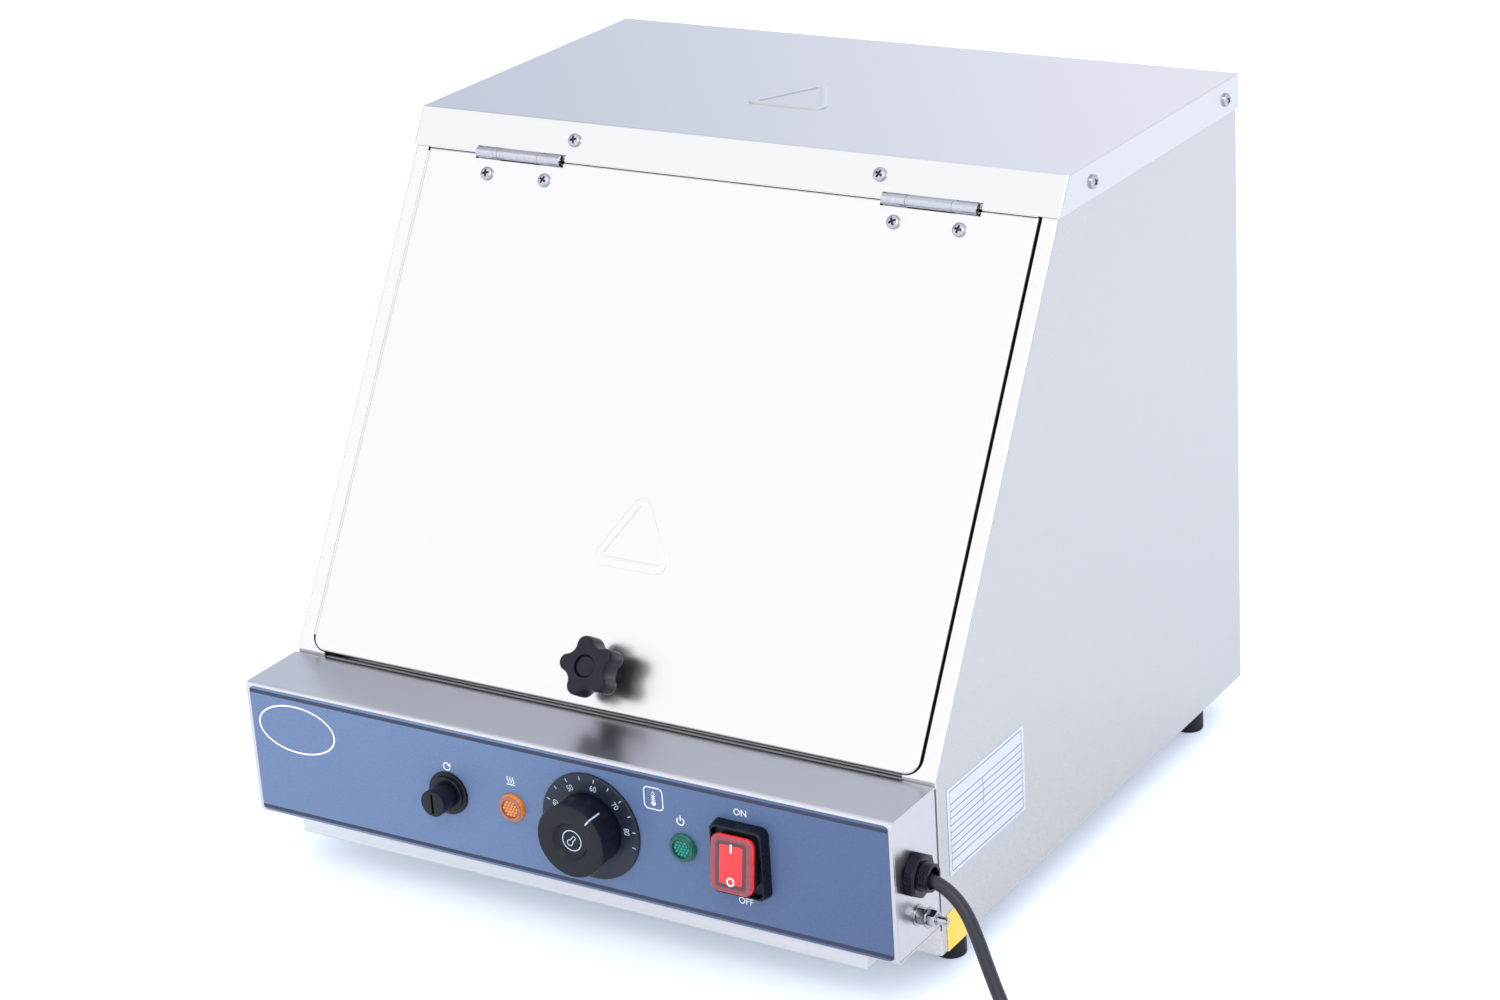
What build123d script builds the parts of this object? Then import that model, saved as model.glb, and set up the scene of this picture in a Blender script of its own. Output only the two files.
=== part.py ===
from build123d import *
import os
from math import atan, atan2, cos, degrees, hypot, pi, radians, sin, tan

# Counter-top chip warmer. Millimetres, +Z up, front towards -Y.
# Working frame: x = 0 at mid width, y = 0 on the upright front face of the side panels, z = 0 on the counter.
# Every piece is written with its origin moved to the bottom centre of the whole appliance.

# ---- cabinet ---------------------------------------------------------------
sheet = 1.0                  # stainless sheet
cabinet_width = 397.6        # over the side panels
cabinet_depth = 363.2        # upright front face to back face
panel_top = 379.5            # top of the side panels
knee_height = 116.5          # where the upright front turns into the sloping front
slope_angle = 31.3           # sloping front, from the vertical
return_width = 18.8          # turned-in edge of the side panels
foot_return_width = 26.0     # turned-in bottom edge, wide enough for the foot screws
panel_bend = 1.5             # outside radius of the side panel edges
plate_clearance = 0.2        # plates that sit between the side panels

# ---- top cover ---------------------------------------------------------------
cover_clearance = 0.2
cover_skirt = 19.3
cover_bend = 1.3
cover_side_screw_front = 184.5
cover_side_screw_inset = 16.8   # back screw, in from the back face
cover_side_screw_drop = 9.5     # below the top of the side panels
cover_front_screw_x = 94.6
cover_front_screw_rise = 12.1   # above the cover's front edge, along the slope
cover_back_screw_x = 150.0

# ---- door ----------------------------------------------------------------------
door_side_margin = 10.5      # door edge in from the cabinet's side
door_thickness = 16.0
door_edge_gap = 0.6          # door top edge to cover front edge
door_sill_gap = 1.0          # door bottom edge to sill shelf
door_side_gap = 1.6
door_corner = 8.0
door_bend = 1.2
door_seat_gap = 0.3          # closed door to liner flange
door_slot_width = 12.5       # drain slot in the bottom fold
door_slot_depth = 8.0
door_slot_x = -118.8
door_opening_corner = 9.5
door_open_angle = 165.0

# ---- hinges --------------------------------------------------------------------
hinge_x = 127.3
hinge_length = 54.8
hinge_middle_knuckle = 26.6
hinge_knuckle_gap = 0.2
hinge_barrel_radius = 3.0
hinge_pin_radius = 1.6
hinge_pin_clearance = 0.05
hinge_leaf = 1.2
hinge_leaf_width = 18.0
hinge_edge_gap = 0.4         # axis above the door's top edge
hinge_rise = 0.8             # axis above the door's outer face
hinge_notch_width = 58.0
hinge_notch_reach = 3.7      # notch edges either side of the axis
door_screw_pitch = 38.0
door_screw_drop = 11.1       # below the door's top edge

# ---- star knob -------------------------------------------------------------------
star_knob_up = 20.7          # centre above the knee, along the slope
star_stem_radius = 7.0
star_stem_length = 8.2
star_head_radius = 16.4
star_head_thickness = 14.0
star_lobes = 5
star_lobe_radius = 5.6
star_core_radius = 12.2
star_screw_radius = 2.5

# ---- screws --------------------------------------------------------------------
screw_radius = 2.0
screw_head_radius = 4.0
screw_head_height = 2.6
screw_length = 6.0
back_screw_length = 5.0
screw_hole_clearance = 0.1
nut_across_flats = 7.0
nut_thickness = 3.2

# ---- sill, rail, base ------------------------------------------------------------
sill_bottom = 38.0
sill_shelf = 16.0
sill_bend = 0.4
rail_width = 19.5
rail_edge_gap = 0.6          # rail edge above the cover's front edge
fit_gap = 0.3                # soft or curved pieces beside their neighbours

# ---- liner and heated chamber -----------------------------------------------------
side_insulation = 22.8       # cabinet side to liner inside
liner_front = 22.0
liner_floor = 44.0
top_insulation = 38.3        # top of the side panels to liner inside
back_insulation = 25.2       # back face to liner inside
liner_flange_margin = 1.7    # liner flange past the door's edges
liner_floor_strip = 26.0     # floor left at the sides of the opening
liner_floor_end = 38.0       # floor left in front of and behind the opening
element_height = 56.0
element_radius = 4.0
element_bend = 20.0
element_terminal_x = 25.0
element_inner_x = 55.0
element_outer_x = 130.0
element_start = 8.0
element_inner_bend = 120.0
element_bar_inset = 78.0     # bars in from the liner's front and back
element_bar_width = 12.0
element_bar_thickness = 2.9
element_foot_length = 10.0
deck_height = 76.0
deck_clearance = 1.0
deck_hole_radius = 4.5
deck_hole_pitch = 24.0
deck_rows = 12
deck_columns = 14
bulb_radius = 3.0
bulb_length = 90.0
bulb_start = 40.0
bulb_height = 66.0
capillary_radius = 1.0
thermostat_bulb_x = 38.0
cutout_bulb_x = -60.0

# ---- crumb tray --------------------------------------------------------------------
tray_side_inset = 22.1       # tray side in from the cabinet's side
tray_front = -37.0
tray_back_inset = 33.2       # tray back in from the back face
tray_bottom = 25.6
tray_top = 36.4
tray_travel = 300.0
runner_side_gap = 0.5
runner_gap = 0.1
runner_flange = 9.2
runner_front = 2.5

# ---- feet ------------------------------------------------------------------------
foot_height = 20.0
foot_radius = 8.2
foot_side_inset = 16.4       # foot centres in from the side and from the ends
foot_front_inset = 37.0
foot_back_inset = 37.2
foot_counterbore_radius = 4.7
foot_counterbore_depth = 5.0

# ---- control box -------------------------------------------------------------------
box_overhang = 0.2           # box ends past the side panels
box_depth = 44.6
box_bottom = 37.4
box_top_drop = 1.5           # box top below the knee
box_bend = 1.5               # inside radius of the wrap
box_return = 12.0
cheek_flange = 10.0
cheek_corner = 2.0
box_screw_inset = 10.0       # in from the box end
film_thickness = 0.3
film_side_margin = 2.2       # film edge in from the box ends
film_edge_margin = 1.8       # film edge in from the box's top and bottom
film_corner = 3.0
control_height = 76.25       # centre line of the controls

# ---- thermostat, numbers outward from the box front ------------------------------------
thermostat_x = 22.4
dial_radius = 29.5
dial_inner_radius = 18.9
dial_base = 0.5
dial_ring = 1.2
knob_base_radius = 18.3
knob_face_radius = 20.0
knob_start = 1.5
knob_face = 20.6
knob_edge = 1.0
knob_dish_radius = 10.2
knob_dish_depth = 2.2
knob_pointer_angle = 48.7    # where the pointer stands, anticlockwise from +X
dial_low_angle = 160.0
dial_high_angle = 1.0
spindle_radius = 3.0
spindle_clearance = 0.05
spindle_back = -20.0
spindle_reach = 13.9
bush_radius = 4.5
bush_reach = 1.2
thermostat_width = 36.0
thermostat_height = 32.0
thermostat_depth = 24.0

# ---- reset ------------------------------------------------------------------------
reset_x = -67.5
collar_radius = 12.0
collar_height = 2.2
collar_ring_radius = 10.15
collar_ring_height = 3.8
spigot_radius = 5.0
spigot_reach = 12.5
spigot_clearance = 0.1
button_radius = 3.0
button_clearance = 0.1
button_tip = 10.5
button_length = 19.5
button_travel = 2.0
cap_radius = 7.4
cap_start = 4.0
cap_face = 15.5
cap_bore_end = 12.7
cap_clearance = 0.05
cap_slot_width = 1.4
cap_slot_length = 11.0
cap_slot_depth = 1.5
cutout_size = 30.0
cutout_depth = 20.0

# ---- lamps ------------------------------------------------------------------------
heat_lamp_x = -26.8
power_lamp_x = 78.1
lamp_flange_radius = 7.9
lamp_flange = 1.2
lamp_dome_radius = 6.8
lamp_dome_face = 3.5
lamp_body_radius = 5.0
lamp_body_length = 22.0

# ---- mains switch --------------------------------------------------------------------
switch_x = 113.0
switch_rise = 1.75           # middle above the other controls
bezel_width = 32.0
bezel_height = 39.6
bezel_face = 6.5
bezel_draft = 1.0            # the bezel draws in by this much each side
bezel_corner = 4.0
bezel_opening_width = 28.0
bezel_opening_height = 35.4
switch_body_width = 26.8
switch_body_height = 33.8
switch_body_depth = 28.0
switch_wall = 1.1
switch_well = 3.0
switch_ear_reach = 5.2
switch_ear_height = 7.0
rocker_axis = 3.0            # outward from the box front
rocker_pin_radius = 1.5
rocker_pin_clearance = 0.05
rocker_tilt = 8.0
rocker_cap_width = 24.4
rocker_cap_height = 29.8
rocker_cap_back = 9.0
rocker_cap_face = 12.0
rocker_cap_corner = 5.0
rocker_skirt_width = 21.8
rocker_skirt_height = 24.6
rocker_skirt_back = 0.8
rocker_lens_width = 17.8
rocker_lens_height = 23.2
rocker_lens_thickness = 0.6
rocker_lens_clearance = 0.05

# ---- cord gland and earth stud, right end of the box --------------------------------------
gland_y = -26.0
gland_z = 79.3
gland_radius = 7.5
gland_bore_radius = 5.5
gland_inside = 9.0           # length inside the box, from its outer face
gland_outside = 11.0
gland_flange_radius = 10.5
gland_flange = 4.0
gland_nut_across_flats = 21.5
gland_nut = 6.0
gland_clearance = 0.05
seal_ends = (196.6, 205.0)
stud_y = -23.5
stud_z = 55.5
stud_radius = 2.5
stud_tip_radius = 2.05       # lead-in beyond the last nut
stud_outside = 17.0
stud_inside = 11.0
stud_washer_radius = 5.5
stud_washer = 1.0
stud_nut = 4.0
stud_nut_across_flats = 8.0
lug_space = 1.0
stud_clearance = 0.05

# ---- plates on the right side ---------------------------------------------------------
rating_plate = (10.3, 91.8, 60.1, 107.8)
side_tag = (4.8, 25.4, 20.3, 41.0)
label_thickness = 0.3

# ---- pressed triangles ------------------------------------------------------------------
bead_width = 4.9
bead_height = 0.5
bead_corner = 6.0
door_triangle = ((-27.7, 75.1), (26.3, 75.1), (-1.3, 119.1))      # x, up the slope
cover_triangle = ((-32.2, 221.8), (23.9, 221.8), (-4.9, 273.3))   # x, y

# ---- mains lead ---------------------------------------------------------------------
cord_radius = 3.4
cord_route = (
    (196.5, -26.0, 78.2), (207.5, -26.0, 78.8), (218.9, -26.8, 75.3), (228.3, -28.8, 68.0),
    (235.0, -31.0, 57.7), (241.8, -34.0, 44.7), (249.6, -37.8, 31.3), (260.0, -42.9, 17.5),
    (273.0, -48.7, 6.6), (289.0, -56.3, 3.4), (302.0, -66.4, 3.45),
)
coil_centre = (270.5, -104.0)
coil_turn_radius = 38.8      # middle of the turns
coil_turns_across = 4
coil_layers = 2
tail_route = (
    (283.2, -151.3, 10.0), (268.6, -155.4, 7.2), (256.2, -161.4, 5.0), (246.6, -169.8, 6.6), (238.4, -179.6, 9.0),
)
plug_width = 50.0
plug_length = 50.0
plug_thickness = 21.0
plug_corner = 9.0
plug_boss_radius = 5.6
plug_boss_length = 12.0
earth_pin = (8.0, 4.0, 22.7)
line_pin = (6.3, 4.0, 17.7)
line_pin_pitch = 22.2
earth_pin_distance = 22.2

# ---- wiring ---------------------------------------------------------------------------
wire_radius = 1.0
wire_bend = 3.0
wire_hole_radius = 3.0
wire_block_step = 8.0        # wires either side of the block's middle
wire_thermostat_steps = (10.4, 7.6)
wire_cutout_steps = (7.5, 5.5)
wire_switch_step = 6.0
wire_lead_steps = (39.0, 33.0, 19.0)   # turns of the lead's cores, in from the box end
wire_core_steps = (1.2, 1.3, 2.2)      # cores off the lead's middle
wire_lanes = (5.5, 6.0, 9.0, 10.0, 14.0)   # in front of the cabinet
wire_levels = (-12.25, -8.25, 3.75, 7.75, 11.75, 21.75)   # from the centre line of the controls
terminal_half_width = 35.0
terminal_zs = (46.0, 66.0)
terminal_depth = 6.0

# ---- worked out from the sizes above ---------------------------------------------------
slope = radians(slope_angle)
half_width = cabinet_width / 2
liner_half_width = half_width - side_insulation
liner_top = panel_top - top_insulation
liner_back = cabinet_depth - back_insulation
liner_opening_half_width = liner_half_width - liner_floor_strip
liner_opening_ys = (liner_front + liner_floor_end, liner_back - liner_floor_end)
element_bar_ys = (liner_front + element_bar_inset, liner_back - element_bar_inset)
element_ends = liner_opening_ys
element_half = (
    (element_terminal_x, element_start), (element_terminal_x, element_ends[0]),
    (element_outer_x, element_ends[0]), (element_outer_x, element_ends[1]),
    (element_inner_x, element_ends[1]), (element_inner_x, element_inner_bend),
)
element_route = tuple((-x, y) for x, y in element_half) + tuple(reversed(element_half))
cover_side_screw_ys = (cover_side_screw_front, cabinet_depth - cover_side_screw_inset)
cover_side_screw_z = panel_top - cover_side_screw_drop
tray_half_width = half_width - tray_side_inset
tray_back = cabinet_depth - tray_back_inset
foot_x = half_width - foot_side_inset
foot_ys = (foot_front_inset, cabinet_depth - foot_back_inset)
box_half_width = half_width + box_overhang
box_top = knee_height - box_top_drop
box_screw_x = box_half_width - box_screw_inset
film_half_width = box_half_width - film_side_margin
film_bottom = box_bottom + film_edge_margin
film_top = box_top - film_edge_margin
proud = cover_clearance + sheet
cover_half_width = half_width + proud
cover_top = panel_top + proud
cover_back = cabinet_depth + proud
cover_bottom = cover_top - cover_skirt
plate_half_width = half_width - sheet - plate_clearance
front = Plane(origin=(0, 0, knee_height), x_dir=(1, 0, 0), z_dir=(0, -cos(slope), sin(slope)))
cover_edge = (cover_bottom - knee_height - proud * sin(slope)) / cos(slope)
door_bottom = door_sill_gap
door_top = cover_edge - door_edge_gap
door_back = proud - door_thickness
door_half_width = half_width - door_side_margin
liner_flange_half_width = door_half_width + liner_flange_margin
opening_half_width = door_half_width + door_side_gap
hinge_up = door_top + hinge_edge_gap
hinge_out = proud + hinge_rise
leaf_back = cover_clearance - hinge_leaf
seat_out = door_back - door_seat_gap
rail_edge = cover_edge + rail_edge_gap
base_bottom = foot_height + sheet
box_panel = Plane(origin=(0, -box_depth, control_height), x_dir=(1, 0, 0), z_dir=(0, -1, 0))
box_inner_back = -sheet
knob_front_y = -(box_depth + knob_face)
stud_tip = box_half_width + stud_outside
rear_screw_y = cover_back + screw_head_height
shift = (
    -(stud_tip - cover_half_width) / 2,
    -(knob_front_y + rear_screw_y) / 2,
    0.0,
)
coil_half_band = coil_turns_across * cord_radius
coil_height = coil_layers * 2 * cord_radius


def up_slope(y, z):
    """Distance up the slope and outward from it, of a point (y, z)."""
    up = y * sin(slope) + (z - knee_height) * cos(slope)
    out = -y * cos(slope) + (z - knee_height) * sin(slope)
    return up, out


def slope_point(up, out):
    """(y, z) of a point given up the slope and outward from it."""
    return up * sin(slope) - out * cos(slope), knee_height + up * cos(slope) + out * sin(slope)


def slope_y_at(z, out):
    """y on the plane that lies `out` from the slope, at height z."""
    return ((z - knee_height) * sin(slope) - out) / cos(slope)


def slope_z_at(y, out):
    """z on the plane that lies `out` from the slope, at depth y."""
    return knee_height + (out + y * cos(slope)) / sin(slope)


def block(x0, x1, y0, y1, z0, z1):
    """Box between two corners."""
    box = Box(x1 - x0, y1 - y0, z1 - z0)
    return Pos((x0 + x1) / 2, (y0 + y1) / 2, (z0 + z1) / 2) * box


def front_block(x0, x1, up0, up1, out0, out1):
    """Box on the sloping front: across, up the slope, outward."""
    return front * block(x0, x1, up0, up1, out0, out1)


def side_prism(points, x0, x1):
    """Solid with a (y, z) outline, from x0 to x1."""
    face = Plane.YZ.offset(x0) * make_face(Polyline(*points, close=True))
    return extrude(face, amount=x1 - x0, dir=(1, 0, 0))


def disc(radius, start, end):
    """Cylinder along the local Z."""
    return Pos(0, 0, (start + end) / 2) * Cylinder(radius, end - start)


def ring(outer, inner, start, end):
    """Round ring along the local Z."""
    return disc(outer, start, end) - disc(inner, start - 1, end + 1)


def hexagon(across_flats, start, end):
    """Hexagonal prism along the local Z."""
    shape = RegularPolygon(across_flats / 2, 6, major_radius=False)
    return Pos(0, 0, start) * extrude(shape, amount=end - start)


def rod(start, end, radius):
    """Straight round bar between two points."""
    run = Vector(*end) - Vector(*start)
    return Solid.make_cylinder(radius, run.length, Plane(origin=start, z_dir=run))


def tube_along(points, radius, bends):
    """Round bar along straight runs joined by tangent arcs."""
    path = FilletPolyline(*points, radius=bends)
    section = Plane(origin=path @ 0, z_dir=path % 0) * Circle(radius)
    return sweep(section, path=path)


def vertex_fillet(face, point, radius):
    """Round the corner of a flat outline that lies nearest to a point."""
    nearest = face.vertices().sort_by_distance((point[0], point[1], 0))[0]
    return fillet(nearest, radius)


def folded_sheet(path, thickness, x0, x1, inside_radius):
    """Sheet folded along the (y, z) points of its outer face, lying to the left of that path."""
    normals = []
    for (y0, z0), (y1, z1) in zip(path, path[1:]):
        run = hypot(y1 - y0, z1 - z0)
        normals.append((-(z1 - z0) / run, (y1 - y0) / run))
    inner = [(path[0][0] + thickness * normals[0][0], path[0][1] + thickness * normals[0][1])]
    for point, before, after in zip(path[1:], normals, normals[1:]):
        reach = thickness / (1 + before[0] * after[0] + before[1] * after[1])
        inner.append(
            (point[0] + reach * (before[0] + after[0]), point[1] + reach * (before[1] + after[1]))
        )
    inner.append((path[-1][0] + thickness * normals[-1][0], path[-1][1] + thickness * normals[-1][1]))
    face = make_face(Polyline(*path, *reversed(inner), close=True))
    for index in range(1, len(path) - 1):
        before, after = normals[index - 1], normals[index]
        left_turn = before[0] * after[1] - before[1] * after[0] > 0
        tight, wide = (inner[index], path[index]) if left_turn else (path[index], inner[index])
        face = vertex_fillet(face, tight, inside_radius)
        face = vertex_fillet(face, wide, inside_radius + thickness)
    return extrude(Plane.YZ.offset(x0) * face, amount=x1 - x0, dir=(1, 0, 0))


def slope_outline(half, bottom, top, corner):
    """Flat outline on the sloping front, with its two bottom corners rounded."""
    face = Pos(0, (bottom + top) / 2) * Rectangle(2 * half, top - bottom)
    corners = face.vertices().sort_by(Axis.Y)[:2]
    return fillet(corners, corner)


def slope_slab(outline, out0, out1):
    """Solid of an outline on the sloping front, between two distances outward."""
    return front * (Pos(0, 0, out0) * extrude(outline, amount=out1 - out0))


def on_panel(x, shape, up=0.0):
    """Shape on the front of the control box, its local Z outward."""
    return box_panel * (Pos(x, up, 0) * shape)


def on_right_end(y, z, shape):
    """Shape on the right end of the control box, its local Z outward from the end's face."""
    return Plane(origin=(box_half_width, y, z), x_dir=(0, 1, 0), z_dir=(1, 0, 0)) * shape


def pan_screw(length):
    """Cross-head pan screw, head above the local XY plane."""
    head = disc(screw_head_radius, 0, screw_head_height)
    head = fillet(head.faces().sort_by(Axis.Z)[-1].edges(), 1.3)
    cross = Box(0.9, 4.4, 3.0) + Box(4.4, 0.9, 3.0)
    return head + disc(screw_radius, -length, 0) - Pos(0, 0, screw_head_height) * cross


def both_sides(shape):
    """A solid and its mirror image across the middle of the appliance."""
    return [shape, mirror(shape, about=Plane.YZ)]


def pattern(shapes):
    """Separate solids gathered in one sub-part."""
    return Compound([solid for shape in shapes for solid in shape.solids()])


def triangle_bead(points):
    """Flat ring that follows a rounded triangle."""
    outer = make_face(Polyline(*points, close=True))
    outer = fillet(outer.vertices(), bead_corner)
    return outer - offset(outer, -bead_width)


# ---- places that several pieces share ----------------------------------------------------
def cover_side_screws():
    """Seats of the cover's side screws: (y, z)."""
    return [(y, cover_side_screw_z) for y in cover_side_screw_ys]


def cover_front_screws():
    """Seats of the cover's front screws: (x, up the slope)."""
    return [(side * cover_front_screw_x, cover_edge + cover_front_screw_rise) for side in (-1, 1)]


def door_screw_places():
    """Seats of the door's hinge screws: (x, up the slope)."""
    up = door_top - door_screw_drop
    return [
        (side * hinge_x + step * door_screw_pitch / 2, up) for side in (-1, 1) for step in (-1, 1)
    ]


def box_screw_places():
    """Seats of the screws that hold the control box: (x, z)."""
    margin = 2 * sheet + 2 * fit_gap + screw_head_radius
    return [(side * box_screw_x, z) for side in (-1, 1) for z in (box_bottom + margin, box_top - margin)]


def foot_places():
    """Centres of the feet: (x, y)."""
    return [(side * foot_x, y) for side in (-1, 1) for y in foot_ys]


def slope_hole(x, up):
    """Cutter for a screw in the sloping sheets."""
    return front * (Pos(x, up, 0) * disc(screw_radius + screw_hole_clearance, -8, 8))


def back_hole(x, z):
    """Cutter along Y for a screw at the cabinet's back."""
    reach = screw_radius + screw_hole_clearance
    return rod((x, cabinet_depth - 12, z), (x, cabinet_depth + 12, z), reach)


def front_hole(x, z, radius):
    """Cutter along Y through the upright front sheets."""
    return rod((x, -8, z), (x, 8, z), radius)


def side_hole(y, z):
    """Cutter along X for a cover screw, both sides at once."""
    return rod((-cover_half_width - 5, y, z), (cover_half_width + 5, y, z), screw_radius + screw_hole_clearance)


def foot_hole(x, y):
    """Cutter along Z for a foot screw."""
    return rod((x, y, -5), (x, y, foot_height + 10), screw_radius + screw_hole_clearance)


# ---- cabinet ------------------------------------------------------------------------------
def cabinet_outline(inset):
    """(y, z) outline of the side panels, drawn in by a thickness."""
    bottom = foot_height + inset
    top = panel_top - inset
    return (
        (inset, bottom),
        (inset, slope_z_at(inset, -inset)),
        (slope_y_at(top, -inset), top),
        (cabinet_depth - inset, top),
        (cabinet_depth - inset, bottom),
    )


def side_panel():
    """Right side panel: a pan with turned-in edges, open where the door closes."""
    start = half_width - return_width
    outer = side_prism(cabinet_outline(0), start, half_width)
    outer = fillet(outer.faces().sort_by(Axis.X)[-1].edges(), panel_bend)
    inner = side_prism(cabinet_outline(sheet), start - 5, half_width - sheet)
    panel = outer - inner
    panel += block(
        half_width - foot_return_width, start + 1, sheet, cabinet_depth - sheet, foot_height, base_bottom
    )
    opening = slope_outline(
        opening_half_width, door_bottom - 0.4, cover_edge, door_opening_corner
    )
    panel -= slope_slab(opening, -sheet - 0.6, proud + 4)
    for y, z in cover_side_screws():
        panel -= side_hole(y, z)
    for x, z in box_screw_places():
        panel -= front_hole(x, z, screw_radius + screw_hole_clearance)
    for x, y in foot_places():
        panel -= foot_hole(x, y)
    return panel


def back_panel():
    """Plate inside the back edges of the side panels."""
    back = cabinet_depth - sheet
    panel = block(-plate_half_width, plate_half_width, back - sheet, back, base_bottom, panel_top - sheet - 0.1)
    for x in (-cover_back_screw_x, cover_back_screw_x):
        panel -= back_hole(x, cover_side_screw_z)
    return panel


def base_plate():
    """Floor of the cabinet, on the side panels' bottom edges."""
    plate = block(
        -plate_half_width, plate_half_width, sheet, cabinet_depth - 2 * sheet, base_bottom, base_bottom + sheet
    )
    for x, y in foot_places():
        plate -= foot_hole(x, y)
    return plate


def front_sill():
    """Upright front sheet with a shelf turned in under the door."""
    shelf_end = slope_point(0, -sill_shelf)
    corner = (sheet, knee_height - sheet * tan(slope))
    sill = folded_sheet(
        (shelf_end, corner, (sheet, sill_bottom)), sheet, -plate_half_width, plate_half_width, sill_bend
    )
    for x, z, radius in sill_holes():
        sill -= front_hole(x, z, radius)
    for x, z in box_screw_places():
        sill -= front_hole(x, z, screw_radius + screw_hole_clearance)
    return sill


def sill_holes():
    """Holes in the sill for wires and capillaries: (x, z, radius)."""
    return (
        (wires()[0][0][0], wires()[0][1][2], wire_hole_radius),
        (wires()[1][0][0], wires()[1][1][2], wire_hole_radius),
        (thermostat_bulb_x, bulb_height, bulb_radius + fit_gap),
        (cutout_bulb_x, bulb_height, bulb_radius + fit_gap),
    )


def top_cover():
    """Formed cap over the top of the side panels, with a front edge along the slope."""
    outer_outline = (
        (slope_y_at(cover_bottom, proud), cover_bottom),
        (slope_y_at(cover_top, proud), cover_top),
        (cover_back, cover_top),
        (cover_back, cover_bottom),
    )
    inside_top = panel_top + cover_clearance
    below = cover_bottom - 10
    inner_outline = (
        (slope_y_at(below, cover_clearance), below),
        (slope_y_at(inside_top, cover_clearance), inside_top),
        (cabinet_depth + cover_clearance, inside_top),
        (cabinet_depth + cover_clearance, below),
    )
    cover = side_prism(outer_outline, -cover_half_width, cover_half_width)
    folds = cover.edges().filter_by(lambda edge: edge.center().Z > cover_bottom + 1)
    cover = fillet(folds, cover_bend)
    inside = half_width + cover_clearance
    cover -= side_prism(inner_outline, -inside, inside)
    for side in (-1, 1):
        middle = side * hinge_x
        cover -= front_block(
            middle - hinge_notch_width / 2,
            middle + hinge_notch_width / 2,
            cover_edge - 8,
            hinge_up + hinge_notch_reach,
            cover_clearance - 0.1,
            proud + 2,
        )
    for x, up in cover_front_screws():
        cover -= slope_hole(x, up)
    for y, z in cover_side_screws():
        cover -= side_hole(y, z)
    for x in (-cover_back_screw_x, cover_back_screw_x):
        cover -= back_hole(x, cover_side_screw_z)
    cover += Pos(0, 0, cover_top) * extrude(triangle_bead(cover_triangle), amount=bead_height)
    return cover


def cover_screws():
    """Cross-head screws of the top cover: front, sides and back."""
    screws = []
    for x, up in cover_front_screws():
        screws.append(front * (Pos(x, up, proud) * pan_screw(screw_length)))
    for y, z in cover_side_screws():
        seat = Plane(origin=(cover_half_width, y, z), x_dir=(0, 1, 0), z_dir=(1, 0, 0))
        screws += both_sides(seat * pan_screw(screw_length))
    for x in (-cover_back_screw_x, cover_back_screw_x):
        seat = Plane(origin=(x, cover_back, cover_side_screw_z), x_dir=(1, 0, 0), z_dir=(0, 1, 0))
        screws.append(seat * pan_screw(back_screw_length))
    return pattern(screws)


def upper_front_rail():
    """Angle behind the cover's front edge, which carries the hinges."""
    rail = front_block(-plate_half_width, plate_half_width, rail_edge, rail_edge + rail_width, -2 * sheet, -sheet)
    rail += front_block(-plate_half_width, plate_half_width, rail_edge, rail_edge + sheet, seat_out, -sheet)
    for x, up in cover_front_screws():
        rail -= slope_hole(x, up)
    return rail


# ---- heated chamber --------------------------------------------------------------------------
def liner_outline(grow, out):
    """(y, z) outline of the liner's inside, grown by a wall, open towards the door at a plane."""
    return (
        (liner_front - grow, liner_floor - grow),
        (liner_front - grow, slope_z_at(liner_front - grow, out)),
        (slope_y_at(liner_top + grow, out), liner_top + grow),
        (liner_back + grow, liner_top + grow),
        (liner_back + grow, liner_floor - grow),
    )


def chamber_liner():
    """Inner box of the heated chamber, with a flange behind the door and an open floor."""
    wall = sheet
    outer_half = liner_half_width + wall
    liner = side_prism(liner_outline(wall, seat_out), -outer_half, outer_half)
    liner += front_block(
        -liner_flange_half_width, liner_flange_half_width, 0, rail_edge + sheet, seat_out - wall, seat_out
    )
    liner -= side_prism(liner_outline(0, seat_out + 5), -liner_half_width, liner_half_width)
    y0, y1 = liner_opening_ys
    liner -= block(-liner_opening_half_width, liner_opening_half_width, y0, y1, liner_floor - 5, liner_floor + 1)
    for x in (element_route[0][0], element_route[-1][0]):
        liner -= rod((x, liner_front - 5, element_height), (x, liner_front + 2, element_height), element_radius + fit_gap)
    for x in (thermostat_bulb_x, cutout_bulb_x):
        liner -= rod((x, liner_front - 5, bulb_height), (x, liner_front + 2, bulb_height), bulb_radius + fit_gap)
    return liner


def insulation_slabs():
    """Mineral wool beside, behind and above the liner."""
    wall = sheet
    gap = fit_gap
    behind_flange = seat_out - wall - gap
    slab_top = panel_top - sheet - gap - 0.2
    slab_front = 2 * sheet + nut_thickness + 1.0 + gap
    slab_back = cover_back - back_screw_length - gap - 0.2
    floor = liner_floor
    side_start = liner_half_width + wall + gap
    side_end = cover_half_width - screw_length - gap
    side_outline = (
        (slab_front, floor),
        (slab_front, slope_z_at(slab_front, behind_flange)),
        (slope_y_at(slab_top, behind_flange), slab_top),
        (slab_back, slab_top),
        (slab_back, floor),
    )
    side_slab = side_prism(side_outline, side_start, side_end)
    middle = side_start - 2 * gap
    back_slab = block(-middle, middle, liner_back + wall + gap, slab_back, floor, liner_top + wall)
    top_floor = liner_top + wall + gap
    top_outline = (
        (slope_y_at(top_floor, behind_flange), top_floor),
        (slope_y_at(slab_top, behind_flange), slab_top),
        (slab_back, slab_top),
        (slab_back, top_floor),
    )
    return pattern(both_sides(side_slab) + [back_slab, side_prism(top_outline, -middle, middle)])


def heating_element():
    """Sheathed element under the deck, its ends on the terminal block."""
    points = [(x, y, element_height) for x, y in element_route]
    return tube_along(points, element_radius, element_bend)


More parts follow.
